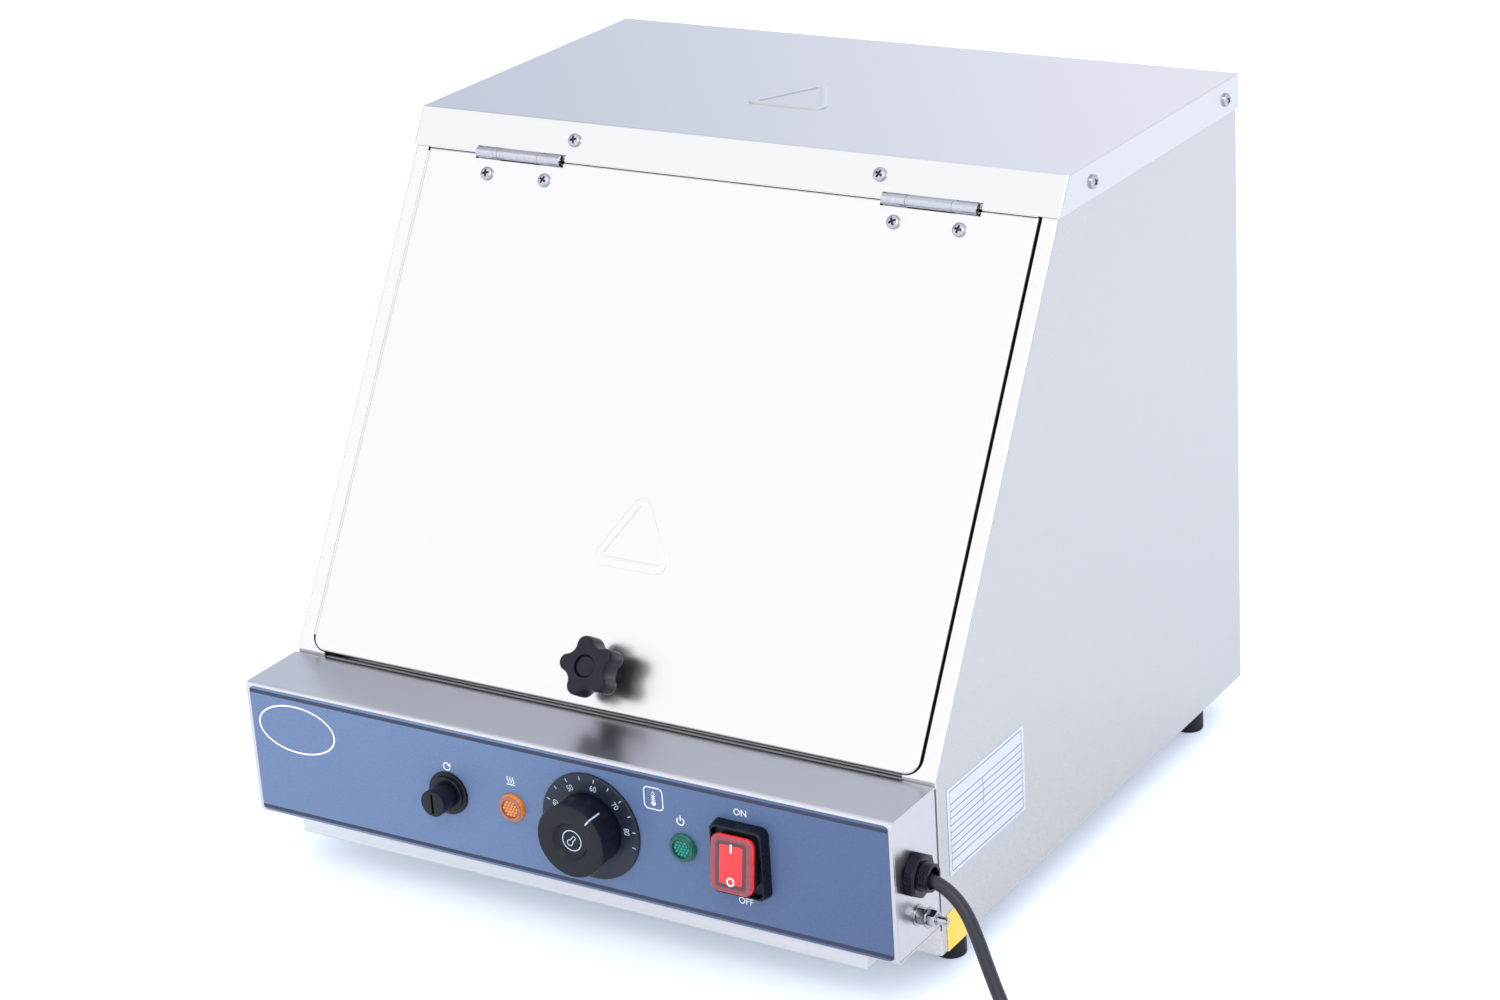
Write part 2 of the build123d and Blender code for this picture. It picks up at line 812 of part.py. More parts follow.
def element_supports():
    """Two bars across the open floor that carry the element."""
    bars = []
    top = element_height - element_radius - runner_gap
    reach = liner_opening_half_width + element_foot_length
    for y in element_bar_ys:
        y0, y1 = y - element_bar_width / 2, y + element_bar_width / 2
        bar = block(-reach, reach, y0, y1, top - element_bar_thickness, top)
        for side in (-1, 1):
            x0, x1 = sorted((side * (liner_opening_half_width + 1), side * reach))
            bar += block(x0, x1, y0, y1, liner_floor, top)
        bars.append(bar)
    return pattern(bars)


def perforated_deck():
    """Lift-out deck that the food lies on, with side skirts and a back skirt."""
    half = liner_half_width - deck_clearance
    y0, y1 = liner_front + 2 * deck_clearance, liner_back - 2 * deck_clearance
    deck = block(-half, half, y0, y1, liner_floor, deck_height)
    deck -= block(-half + sheet, half - sheet, y0 - 1, y1 - sheet, liner_floor - 1, deck_height - sheet)
    holes = GridLocations(deck_hole_pitch, deck_hole_pitch, deck_columns, deck_rows)
    cutter = extrude(Sketch() + [place * Circle(deck_hole_radius) for place in holes], amount=3 * sheet)
    return deck - Pos(0, (y0 + y1) / 2, deck_height - 2 * sheet) * cutter


def sensing_bulb(x, start_y):
    """Capillary from the back of its control to a bulb under the deck."""
    tube = rod((x, start_y, bulb_height), (x, bulb_start, bulb_height), capillary_radius)
    bulb = rod((x, bulb_start, bulb_height), (x, bulb_start + bulb_length, bulb_height), bulb_radius)
    return Part() + tube + bulb


def sensing_bulbs():
    """Bulbs of the thermostat and of the cut-out."""
    thermostat_back = -box_depth + sheet + thermostat_depth
    cutout_back = -box_depth + sheet + cutout_depth
    return pattern(
        [sensing_bulb(thermostat_bulb_x, thermostat_back), sensing_bulb(cutout_bulb_x, cutout_back)]
    )


# ---- crumb tray -------------------------------------------------------------------------------
def crumb_tray():
    """Shallow pan that slides out under the control box."""
    tray = block(-tray_half_width, tray_half_width, tray_front, tray_back, tray_bottom, tray_top)
    lower = tray.faces().sort_by(Axis.Z)[0].edges()
    tray = fillet(lower, 1.2)
    inner = block(
        -tray_half_width + sheet,
        tray_half_width - sheet,
        tray_front + sheet,
        tray_back - sheet,
        tray_bottom + sheet,
        tray_top + 2,
    )
    return tray - inner


def tray_runners():
    """Channels that carry the tray and the liner."""
    web = tray_half_width + runner_side_gap
    inside = web - runner_flange
    y1 = tray_back + 5
    floor = base_bottom + sheet
    runner = block(web, web + sheet, runner_front, y1, floor, liner_floor - sheet)
    runner += block(inside, web + 0.5, runner_front, y1, floor, floor + sheet)
    runner += block(inside + 2, web + 0.5, runner_front, y1, tray_bottom - runner_gap - sheet, tray_bottom - runner_gap)
    runner += block(inside, web + 0.5, runner_front, y1, liner_floor - 2 * sheet, liner_floor - sheet)
    return pattern(both_sides(runner))


# ---- feet --------------------------------------------------------------------------------------
def feet():
    """Four round feet with sunk screw seats."""
    foot = disc(foot_radius, 0, foot_height)
    foot = fillet(foot.faces().sort_by(Axis.Z)[0].edges(), 1.0)
    foot -= disc(foot_counterbore_radius, -1, foot_counterbore_depth)
    foot -= disc(screw_radius + screw_hole_clearance, 0, foot_height + 1)
    return pattern([Pos(x, y, 0) * foot for x, y in foot_places()])


def foot_screws():
    """Screws from the feet into nuts on the base plate."""
    top = base_bottom + sheet
    screw = Rot(180, 0, 0) * pan_screw(top + nut_thickness + 1 - foot_counterbore_depth)
    screw = Pos(0, 0, foot_counterbore_depth) * screw
    screw += hexagon(nut_across_flats, top, top + nut_thickness)
    return pattern([Pos(x, y, 0) * screw for x, y in foot_places()])


# ---- door ------------------------------------------------------------------------------------------
def door_outline(inset):
    """Flat outline of the door."""
    return slope_outline(
        door_half_width - inset, door_bottom + inset, door_top - inset, door_corner - inset
    )


def hinge_notches(out0, out1):
    """Cutters in the door's top edge, where the hinge knuckles lie."""
    cutters = Part()
    for side in (-1, 1):
        middle = side * hinge_x
        cutters += front_block(
            middle - hinge_notch_width / 2,
            middle + hinge_notch_width / 2,
            hinge_up - hinge_notch_reach + 0.2,
            hinge_up + 6,
            out0,
            out1,
        )
    return cutters


def door_outer_skin():
    """Formed front of the door, with turned-back edges."""
    body = Pos(0, 0, door_back + sheet) * extrude(door_outline(0), amount=door_thickness - sheet)
    body = fillet(body.faces().sort_by(Axis.Z)[-1].edges(), door_bend)
    hollow = Pos(0, 0, door_back) * extrude(door_outline(sheet), amount=door_thickness - sheet)
    skin = front * (body - hollow)
    skin -= hinge_notches(leaf_back - 1.2, proud + 1)
    skin -= front_block(
        door_slot_x - door_slot_width / 2,
        door_slot_x + door_slot_width / 2,
        door_bottom - 1,
        door_bottom + sheet + 1,
        cover_clearance - door_slot_depth,
        cover_clearance,
    )
    for x, up in door_screw_places():
        skin -= slope_hole(x, up)
    skin -= front * (Pos(0, star_knob_up, 0) * disc(star_screw_radius + screw_hole_clearance, -3, 3))
    bead = Pos(0, 0, proud) * extrude(triangle_bead(door_triangle), amount=bead_height)
    return skin + front * bead


def door_inner_skin():
    """Flat back of the door."""
    return slope_slab(door_outline(0), door_back, door_back + sheet)


def door_insulation():
    """Wool inside the door."""
    return slope_slab(
        door_outline(sheet + fit_gap), door_back + sheet + fit_gap, cover_clearance - screw_length
    )


def hinge_knuckle(x0, x1, towards):
    """Rolled knuckle with its root, on the door side (-1) or the frame side (+1)."""
    barrel = Plane(origin=(0, hinge_up, hinge_out), x_dir=(0, 1, 0), z_dir=(1, 0, 0)) * disc(hinge_barrel_radius, x0, x1)
    up0, up1 = sorted((hinge_up, hinge_up + towards * (hinge_notch_reach + 0.1)))
    return barrel + block(x0, x1, up0, up1, leaf_back, cover_clearance)


def hinge_bore():
    """Cutter for the pin through all knuckles."""
    axis = Plane(origin=(0, hinge_up, hinge_out), x_dir=(0, 1, 0), z_dir=(1, 0, 0))
    return axis * disc(hinge_pin_radius + hinge_pin_clearance, -hinge_length, hinge_length)


def hinge_door_leaves():
    """Leaves under the door skin, each with two outer knuckles."""
    middle = hinge_middle_knuckle / 2 + hinge_knuckle_gap
    end = hinge_length / 2
    leaf_end = hinge_up - hinge_notch_reach
    leaf = block(-end, end, leaf_end - hinge_leaf_width, leaf_end, leaf_back, cover_clearance)
    leaf += hinge_knuckle(-end, -middle, -1) + hinge_knuckle(middle, end, -1)
    leaf -= hinge_bore()
    for step in (-1, 1):
        hole = disc(screw_radius + screw_hole_clearance, -8, 8)
        leaf -= Pos(step * door_screw_pitch / 2, door_top - door_screw_drop, 0) * hole
    return pattern([front * (Pos(side * hinge_x, 0, 0) * leaf) for side in (-1, 1)])


def hinge_frame_leaves():
    """Leaves on the upper rail, each with the middle knuckle."""
    half = hinge_middle_knuckle / 2
    end = hinge_length / 2
    leaf_start = hinge_up + hinge_notch_reach
    leaf = block(-end, end, leaf_start, leaf_start + hinge_leaf_width - 1, leaf_back, cover_clearance)
    leaf += hinge_knuckle(-half, half, 1)
    leaf -= hinge_bore()
    return pattern([front * (Pos(side * hinge_x, 0, 0) * leaf) for side in (-1, 1)])


def hinge_pins():
    """Plain pins through the knuckles."""
    axis = Plane(origin=(0, hinge_up, hinge_out), x_dir=(0, 1, 0), z_dir=(1, 0, 0))
    pin = axis * disc(hinge_pin_radius, -hinge_length / 2, hinge_length / 2)
    return pattern([front * (Pos(side * hinge_x, 0, 0) * pin) for side in (-1, 1)])


def door_screws():
    """Cross-head screws of the door leaves."""
    screw = pan_screw(screw_length)
    return pattern([front * (Pos(x, up, proud) * screw) for x, up in door_screw_places()])


def star_knob():
    """Lobed door knob on a round stem."""
    start = proud + star_stem_length
    face = Circle(star_core_radius)
    for place in PolarLocations(star_head_radius - star_lobe_radius, star_lobes, start_angle=90):
        face += place * Circle(star_lobe_radius)
    head = Pos(0, 0, start) * extrude(face, amount=star_head_thickness)
    rims = head.faces().sort_by(Axis.Z)[-1].edges()
    head = chamfer(rims, 0.8)
    knob = head + disc(star_stem_radius, proud, start + 1)
    knob -= disc(star_screw_radius + screw_hole_clearance / 2, proud - 1, proud + 11)
    return front * (Pos(0, star_knob_up, 0) * knob)


def star_knob_screw():
    """Screw from inside the door into the star knob."""
    screw = disc(star_screw_radius, cover_clearance - 1, proud + 10.5)
    screw += disc(2 * star_screw_radius, cover_clearance - 3, cover_clearance)
    return front * (Pos(0, star_knob_up, 0) * screw)


# ---- control box ---------------------------------------------------------------------------------
def panel_cutters(clear):
    """Openings in the box front for the controls."""
    cutters = on_panel(thermostat_x, disc(bush_radius + clear, -3, 3))
    cutters += on_panel(reset_x, disc(spigot_radius + clear, -3, 3))
    for x in (heat_lamp_x, power_lamp_x):
        cutters += on_panel(x, disc(lamp_body_radius + clear, -3, 3))
    cutters += on_panel(switch_x, Box(switch_body_width + 2 * clear, switch_body_height + 2 * clear, 6), switch_rise)
    return cutters


def control_box_wrap():
    """Front, top and bottom of the control box in one folded sheet."""
    path = (
        (0, box_top - box_return),
        (0, box_top),
        (-box_depth, box_top),
        (-box_depth, box_bottom),
        (0, box_bottom),
        (0, box_bottom + box_return),
    )
    wrap = folded_sheet(path, sheet, -box_half_width, box_half_width, box_bend)
    wrap -= panel_cutters(spigot_clearance)
    for x, z in box_screw_places():
        wrap -= front_hole(x, z, screw_radius + screw_hole_clearance)
    return wrap


def box_end():
    """Right end of the control box: a shallow pan set inside the wrap."""
    y0, y1 = -box_depth + sheet, -sheet
    z0, z1 = box_bottom + sheet, box_top - sheet
    outline = Plane.YZ.offset(box_half_width - cheek_flange) * (
        Pos((y0 + y1) / 2, (z0 + z1) / 2) * RectangleRounded(y1 - y0, z1 - z0, cheek_corner)
    )
    end = extrude(outline, amount=cheek_flange, dir=(1, 0, 0))
    end = fillet(end.faces().sort_by(Axis.X)[-1].edges(), 0.5)
    hollow = block(
        box_half_width - cheek_flange - 1, box_half_width - sheet, y0 + sheet, y1 + 2, z0 + sheet, z1 - sheet
    )
    return end - hollow


def control_box_right_end():
    """Right end with the gland hole and the earth stud hole."""
    end = box_end()
    end -= on_right_end(gland_y, gland_z, disc(gland_radius + gland_clearance, -3, 3))
    return end - on_right_end(stud_y, stud_z, disc(stud_radius + stud_clearance, -3, 3))


def control_box_left_end():
    """Plain left end."""
    return mirror(box_end(), about=Plane.YZ)


def box_screws():
    """Screws and nuts that hold the control box on the side panels."""
    screws = []
    length = 3 * sheet + nut_thickness + 0.8
    for x, z in box_screw_places():
        seat = Plane(origin=(x, -sheet, z), x_dir=(1, 0, 0), z_dir=(0, -1, 0))
        screw = seat * (pan_screw(length) + hexagon(nut_across_flats, -3 * sheet - nut_thickness, -3 * sheet))
        screws.append(screw)
    return pattern(screws)


def panel_overlay():
    """Printed film on the front of the box."""
    outline = Pos(0, (film_bottom + film_top) / 2 - control_height) * RectangleRounded(
        2 * film_half_width, film_top - film_bottom, film_corner
    )
    film = box_panel * extrude(outline, amount=film_thickness)
    return film - panel_cutters(spigot_clearance)


def thermostat_body():
    """Thermostat behind the panel, with its bush."""
    body = Pos(0, 0, -sheet - thermostat_depth / 2) * Box(thermostat_width, thermostat_height, thermostat_depth)
    body += disc(bush_radius, -sheet - 0.5, bush_reach)
    body -= disc(spindle_radius + spindle_clearance, spindle_back - 0.3, bush_reach + 1)
    return on_panel(thermostat_x, body)


def thermostat_dial():
    """Numbered plate round the knob."""
    start = film_thickness
    base = disc(dial_radius, start, start + dial_base)
    rim = disc(dial_radius, start + dial_base, start + dial_base + dial_ring) - disc(dial_inner_radius, 0, 5)
    dial = base + rim
    dial = fillet(dial.faces().sort_by(Axis.Z)[-1].outer_wire().edges(), 0.5)
    return on_panel(thermostat_x, dial - disc(bush_radius + spigot_clearance, 0, 5))


def thermostat_knob():
    """Tapered knob with a dished face."""
    face_ring = knob_face_radius
    knob = Pos(0, 0, (knob_start + knob_face) / 2) * Cone(knob_base_radius, face_ring, knob_face - knob_start)
    knob = fillet(knob.faces().sort_by(Axis.Z)[-1].edges(), knob_edge)
    knob -= disc(knob_dish_radius, knob_face - knob_dish_depth, knob_face + 1)
    knob -= disc(spindle_radius + spindle_clearance, knob_start - 1, spindle_reach + 0.1)
    return on_panel(thermostat_x, knob)


def thermostat_spindle():
    """Round spindle that turns with the knob."""
    return on_panel(thermostat_x, disc(spindle_radius, spindle_back, spindle_reach))


def thermal_cutout():
    """High-limit cut-out behind the panel, with its threaded spigot."""
    body = Pos(0, 0, -sheet - cutout_depth / 2) * Box(cutout_size, cutout_size, cutout_depth)
    body += disc(spigot_radius, -sheet - 0.5, spigot_reach)
    bottom = button_tip - button_length - button_travel - 0.5
    body -= disc(button_radius + button_clearance, bottom, spigot_reach + 1)
    return on_panel(reset_x, body)


def reset_collar():
    """Stepped collar round the spigot."""
    collar = disc(collar_radius, film_thickness, collar_height)
    collar = fillet(collar.faces().sort_by(Axis.Z)[-1].edges(), 0.5)
    collar += disc(collar_ring_radius, collar_height - 0.1, collar_ring_height)
    return on_panel(reset_x, collar - disc(spigot_radius + spigot_clearance, 0, 8))


def reset_cap():
    """Screwed cap over the reset button."""
    cap = disc(cap_radius, cap_start, cap_face)
    cap = fillet(cap.faces().sort_by(Axis.Z)[-1].edges(), 0.8)
    cap -= disc(spigot_radius + cap_clearance, cap_start - 1, cap_bore_end)
    cap -= Pos(0, 0, cap_face) * Box(cap_slot_width, cap_slot_length, 2 * cap_slot_depth)
    return on_panel(reset_x, cap)


def reset_button():
    """Push button of the cut-out."""
    return on_panel(reset_x, disc(button_radius, button_tip - button_length, button_tip))


def lamp_lens(x):
    """Clear cap of an indicator lamp."""
    lens = disc(lamp_flange_radius, film_thickness, film_thickness + lamp_flange)
    dome = disc(lamp_dome_radius, film_thickness + lamp_flange - 0.2, lamp_dome_face)
    dome = chamfer(dome.faces().sort_by(Axis.Z)[-1].edges(), 0.8)
    return on_panel(x, lens + dome)


def lamp_bodies():
    """Bodies of the two indicator lamps, behind their lenses."""
    body = disc(lamp_body_radius, -lamp_body_length, film_thickness)
    return pattern([on_panel(x, body) for x in (heat_lamp_x, power_lamp_x)])


def switch_bezel():
    """Raised frame round the rocker."""
    foot = RectangleRounded(bezel_width, bezel_height, bezel_corner)
    rise = bezel_face - film_thickness
    frame = Pos(0, 0, film_thickness) * extrude(foot, amount=rise, taper=degrees(atan(bezel_draft / rise)))
    frame = fillet(frame.faces().sort_by(Axis.Z)[-1].edges(), 0.6)
    opening = extrude(RectangleRounded(bezel_opening_width, bezel_opening_height, 3.0), amount=20)
    return on_panel(switch_x, frame - opening, switch_rise)


def switch_body():
    """Switch behind the panel, with the two ears that carry the rocker."""
    body = block(
        -switch_body_width / 2,
        switch_body_width / 2,
        -switch_body_height / 2,
        switch_body_height / 2,
        -switch_body_depth,
        film_thickness,
    )
    inner = switch_body_width / 2 - switch_wall
    well = switch_body_height / 2 - switch_wall
    body -= block(-inner, inner, -well, well, -switch_well, film_thickness + 1)
    for x0 in (-switch_body_width / 2, inner):
        body += block(x0, x0 + switch_wall, -switch_ear_height / 2, switch_ear_height / 2, 0, switch_ear_reach)
    bore = Plane(origin=(0, 0, rocker_axis), x_dir=(0, 1, 0), z_dir=(1, 0, 0))
    body -= bore * disc(rocker_pin_radius + rocker_pin_clearance, -switch_body_width, switch_body_width)
    return on_panel(switch_x, body, switch_rise)


def tilted(shape):
    """Shape turned about the rocker's axis into the ON position."""
    return Pos(0, 0, rocker_axis) * Rot(-rocker_tilt, 0, 0) * Pos(0, 0, -rocker_axis) * shape


def power_rocker():
    """Rocker cap with its skirt and pivot pins."""
    cap = RectangleRounded(rocker_cap_width, rocker_cap_height, rocker_cap_corner)
    rocker = Pos(0, 0, rocker_cap_back) * extrude(cap, amount=rocker_cap_face - rocker_cap_back)
    rocker = fillet(rocker.faces().sort_by(Axis.Z)[-1].edges(), 0.8)
    rocker += block(
        -rocker_skirt_width / 2,
        rocker_skirt_width / 2,
        -rocker_skirt_height / 2,
        rocker_skirt_height / 2,
        rocker_skirt_back,
        rocker_cap_back + 0.5,
    )
    axis = Plane(origin=(0, 0, rocker_axis), x_dir=(0, 1, 0), z_dir=(1, 0, 0))
    rocker += axis * disc(rocker_pin_radius, -switch_body_width / 2, switch_body_width / 2)
    rocker -= Pos(0, 0, rocker_cap_face) * Box(
        rocker_lens_width, rocker_lens_height, 2 * rocker_lens_thickness
    )
    return on_panel(switch_x, tilted(rocker), switch_rise)


def rocker_lens():
    """Window plate let into the rocker's face."""
    trim = 2 * rocker_lens_clearance
    lens = Pos(0, 0, rocker_cap_face - rocker_lens_thickness / 2) * Box(
        rocker_lens_width - trim, rocker_lens_height - trim, rocker_lens_thickness
    )
    return on_panel(switch_x, tilted(lens), switch_rise)


# ---- wiring ------------------------------------------------------------------------------------------
def wires():
    """Routes of the wires between block, controls, cord and earth stud."""
    thermostat_back = -box_depth + sheet + thermostat_depth
    cutout_back = -box_depth + sheet + cutout_depth
    switch_back = -box_depth + switch_body_depth
    block_y = 2 * sheet + terminal_depth / 2
    block_top = terminal_zs[1]
    cord_end = cord_route[0][0] - fit_gap
    cord_y, cord_z = cord_route[0][1], cord_route[0][2]
    stud_end = box_half_width - stud_inside
    lane_1, lane_2, lane_3, lane_4, lane_5 = [-lane for lane in wire_lanes]
    low_2, low_1, up_1, up_2, up_3, up_4 = [control_height + level for level in wire_levels]
    feed_x, load_x = thermostat_x - wire_thermostat_steps[0], thermostat_x + wire_thermostat_steps[1]
    out_x, in_x = reset_x - wire_cutout_steps[0], reset_x + wire_cutout_steps[1]
    left_x, right_x = switch_x - wire_switch_step, switch_x + wire_switch_step
    live_x, neutral_x, earth_x = [box_half_width - step for step in wire_lead_steps]
    live_y, neutral_y, earth_z = cord_y - wire_core_steps[0], cord_y + wire_core_steps[1], cord_z - wire_core_steps[2]
    return (
        ((-wire_block_step, block_y, block_top), (-wire_block_step, block_y, up_3), (-wire_block_step, lane_4, up_3),
         (feed_x, lane_4, up_3), (feed_x, lane_4, up_1), (feed_x, thermostat_back, up_1)),
        ((wire_block_step, block_y, block_top), (wire_block_step, block_y, up_4), (wire_block_step, lane_5, up_4),
         (in_x, lane_5, up_4), (in_x, lane_5, up_2), (in_x, cutout_back, up_2)),
        ((load_x, thermostat_back, up_2), (load_x, lane_3, up_2), (left_x, lane_3, up_2), (left_x, switch_back, up_2)),
        ((out_x, cutout_back, up_2), (out_x, lane_2, up_2), (right_x, lane_2, up_2), (right_x, switch_back, up_2)),
        ((cord_end, live_y, cord_z), (live_x, live_y, cord_z), (live_x, lane_3, cord_z), (live_x, lane_3, low_1),
         (left_x, lane_3, low_1), (left_x, switch_back, low_1)),
        ((cord_end, neutral_y, cord_z), (neutral_x, neutral_y, cord_z), (neutral_x, lane_1, cord_z),
         (neutral_x, lane_1, low_2), (right_x, lane_1, low_2), (right_x, switch_back, low_2)),
        ((cord_end, cord_y, earth_z), (earth_x, cord_y, earth_z), (earth_x, stud_y, stud_z),
         (stud_end, stud_y, stud_z)),
    )


def internal_wiring():
    """Single wires inside the control box."""
    return pattern([tube_along(points, wire_radius, wire_bend) for points in wires()])


def terminal_block():
    """Ceramic block on the back of the sill, at the ends of the element."""
    z0, z1 = terminal_zs
    y0 = 2 * sheet
    return block(-terminal_half_width, terminal_half_width, y0, y0 + terminal_depth, z0, z1)


# ---- gland, earth stud, labels --------------------------------------------------------------------------
def gland_body():
    """Threaded gland barrel with its flange inside the box."""
    gland = ring(gland_radius, gland_bore_radius, -gland_inside, gland_outside)
    mouth = gland.faces().sort_by(Axis.Z)[-1].inner_wires()[0].edges()
    gland = chamfer(mouth, 0.8)
    gland += ring(gland_flange_radius, gland_bore_radius, -sheet - gland_flange, -sheet)
    return on_right_end(gland_y, gland_z, gland)


def gland_locknut():
    """Hexagonal nut of the gland, outside."""
    nut = hexagon(gland_nut_across_flats, 0, gland_nut)
    across_corners = gland_nut_across_flats / cos(pi / 6)
    rim = Pos(0, 0, gland_nut / 2) * Cone(
        across_corners / 2 + 2.2, across_corners / 2 - 0.8, gland_nut
    )
    nut = nut & rim
    return on_right_end(gland_y, gland_z, nut - disc(gland_radius + gland_clearance, -1, gland_nut + 1))


def power_cord():
    """Lead from the gland down to its coil."""
    return tube_along(cord_route, cord_radius, route_radii(cord_route))


def gland_seal():
    """Rubber seal between the gland and the cord."""
    start, end = seal_ends
    seal = disc(gland_bore_radius - gland_clearance, start - box_half_width, end - box_half_width)
    return on_right_end(gland_y, gland_z, seal) - power_cord()


def earth_stud():
    """Threaded earth stud through the box end, with a free tip beyond the last nut."""
    nut_end = 2 * stud_washer + 2 * stud_nut + lug_space
    stud = disc(stud_radius, -stud_inside, nut_end) + disc(stud_tip_radius, nut_end, stud_outside)
    stud = chamfer(stud.faces().sort_by(Axis.Z)[-1].edges(), 0.5)
    return on_right_end(stud_y, stud_z, stud)


def earth_nuts_washers():
    """Nuts and washers of the earth stud, inside and outside the box."""
    bore = stud_radius + stud_clearance
    outside = stud_washer
    pieces = [ring(stud_washer_radius, bore, 0, outside)]
    hole = disc(bore, -30, 30)
    pieces.append(hexagon(stud_nut_across_flats, outside, outside + stud_nut) - hole)
    outside += stud_nut + lug_space
    pieces.append(ring(stud_washer_radius, bore, outside, outside + stud_washer))
    outside += stud_washer
    pieces.append(hexagon(stud_nut_across_flats, outside, outside + stud_nut) - hole)
    pieces.append(hexagon(stud_nut_across_flats, -sheet - stud_nut, -sheet) - hole)
    return pattern([on_right_end(stud_y, stud_z, piece) for piece in pieces])


def side_labels():
    """Rating plate and small tag on the right side panel."""
    plates = []
    for y0, y1, z0, z1 in (rating_plate, side_tag):
        plates.append(block(half_width, half_width + label_thickness, y0, y1, z0, z1))
    return pattern(plates)


# ---- coil, tail, plug ------------------------------------------------------------------------------------
def route_radii(points):
    """Bend radius at each corner of a free cord's route."""
    radii = []
    for before, point, after in zip(points, points[1:], points[2:]):
        into = Vector(*point) - Vector(*before)
        out = Vector(*after) - Vector(*point)
        half_turn = radians(into.get_angle(out)) / 2
        radii.append(0.45 * min(into.length, out.length) / tan(half_turn))
    return radii


def cord_coil():
    """Outer shape of the coiled lead."""
    outer = coil_turn_radius + coil_half_band
    inner = coil_turn_radius - coil_half_band
    coil = ring(outer, inner, 0, coil_height)
    coil = fillet(coil.edges().filter_by(GeomType.CIRCLE), 2.0)
    return Pos(*coil_centre, 0) * coil


def cord_tail():
    """Lead from the coil to the plug."""
    return tube_along(tail_route, cord_radius, route_radii(tail_route))


def plug_plane():
    """Plane at the plug's cord entry, its X along the cord, its Z up."""
    before, end = Vector(*tail_route[-2]), Vector(*tail_route[-1])
    along = end - before
    return Plane(origin=(end.X, end.Y, 0), x_dir=(along.X, along.Y, 0), z_dir=(0, 0, 1))


def mains_plug():
    """Three-pin plug lying on its back."""
    entry = tail_route[-1][2]
    boss = Plane(origin=(0, 0, entry), x_dir=(0, 1, 0), z_dir=(1, 0, 0)) * disc(
        plug_boss_radius, 0, plug_boss_length + 3
    )
    outline = Pos(plug_boss_length + plug_length / 2, 0) * RectangleRounded(plug_length, plug_width, plug_corner)
    body = extrude(outline, amount=plug_thickness)
    body = fillet(body.faces().sort_by(Axis.Z)[0].edges(), 3.0)
    return plug_plane() * (body + boss)


def plug_pins():
    """Brass pins of the plug."""
    middle = plug_boss_length + plug_length / 2
    width, depth, length = earth_pin
    earth_x = middle + earth_pin_distance / 2
    pins = [block(earth_x - width / 2, earth_x + width / 2, -depth / 2, depth / 2, plug_thickness, plug_thickness + length)]
    width, depth, length = line_pin
    line_x = middle - earth_pin_distance / 2
    for side in (-1, 1):
        y = side * line_pin_pitch / 2
        pins.append(
            block(line_x - depth / 2, line_x + depth / 2, y - width / 2, y + width / 2, plug_thickness, plug_thickness + length)
        )
    return pattern([plug_plane() * pin for pin in pins])


def sub_parts():
    """Every sub-part by node name, in the working frame."""
    right = side_panel()
    return {
        "right_side_panel": right,
        "left_side_panel": mirror(right, about=Plane.YZ),
        "back_panel": back_panel(),
        "base_plate": base_plate(),
        "front_sill": front_sill(),
        "top_cover": top_cover(),
        "cover_screws": cover_screws(),
        "upper_front_rail": upper_front_rail(),
        "chamber_liner": chamber_liner(),
        "insulation_slabs": insulation_slabs(),
        "heating_element": heating_element(),
        "element_supports": element_supports(),
        "perforated_deck": perforated_deck(),
        "sensing_bulbs": sensing_bulbs(),
        "tray_runners": tray_runners(),
        "crumb_tray": crumb_tray(),
        "feet": feet(),
        "foot_screws": foot_screws(),
        "door_outer_skin": door_outer_skin(),
        "door_inner_skin": door_inner_skin(),
        "door_insulation": door_insulation(),
        "hinge_door_leaves": hinge_door_leaves(),
        "hinge_frame_leaves": hinge_frame_leaves(),
        "hinge_pins": hinge_pins(),
        "door_screws": door_screws(),
        "star_knob": star_knob(),
        "star_knob_screw": star_knob_screw(),
        "control_box_wrap": control_box_wrap(),
        "control_box_left_end": control_box_left_end(),
        "control_box_right_end": control_box_right_end(),
        "box_screws": box_screws(),
        "panel_overlay": panel_overlay(),
        "thermostat_body": thermostat_body(),
        "thermostat_dial": thermostat_dial(),
        "thermostat_knob": thermostat_knob(),
        "thermostat_spindle": thermostat_spindle(),
        "thermal_cutout": thermal_cutout(),
        "reset_collar": reset_collar(),
        "reset_cap": reset_cap(),
        "reset_button": reset_button(),
        "heat_lamp_lens": lamp_lens(heat_lamp_x),
        "power_lamp_lens": lamp_lens(power_lamp_x),
        "lamp_bodies": lamp_bodies(),
        "switch_bezel": switch_bezel(),
        "switch_body": switch_body(),
        "power_rocker": power_rocker(),
        "rocker_lens": rocker_lens(),
        "internal_wiring": internal_wiring(),
        "terminal_block": terminal_block(),
        "gland_body": gland_body(),
        "gland_locknut": gland_locknut(),
        "gland_seal": gland_seal(),
        "earth_stud": earth_stud(),
        "earth_nuts_washers": earth_nuts_washers(),
        "side_labels": side_labels(),
        "power_cord": power_cord(),
        "cord_coil": cord_coil(),
        "cord_tail": cord_tail(),
        "mains_plug": mains_plug(),
        "plug_pins": plug_pins(),
    }


def main():
    """Write one STEP file per sub-part."""
    os.makedirs("parts", exist_ok=True)
    print("cord radii", [round(r, 1) for r in route_radii(cord_route)])
    print("tail radii", [round(r, 1) for r in route_radii(tail_route)])
    print("shift", [round(s, 3) for s in shift])
    for name, shape in sub_parts().items():
        export_step(Pos(*shift) * shape, f"parts/{name}.step")
        print(name, round(shape.volume, 1))


main()
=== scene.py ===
import math

import bmesh
import bpy
from mathutils import Matrix, Vector


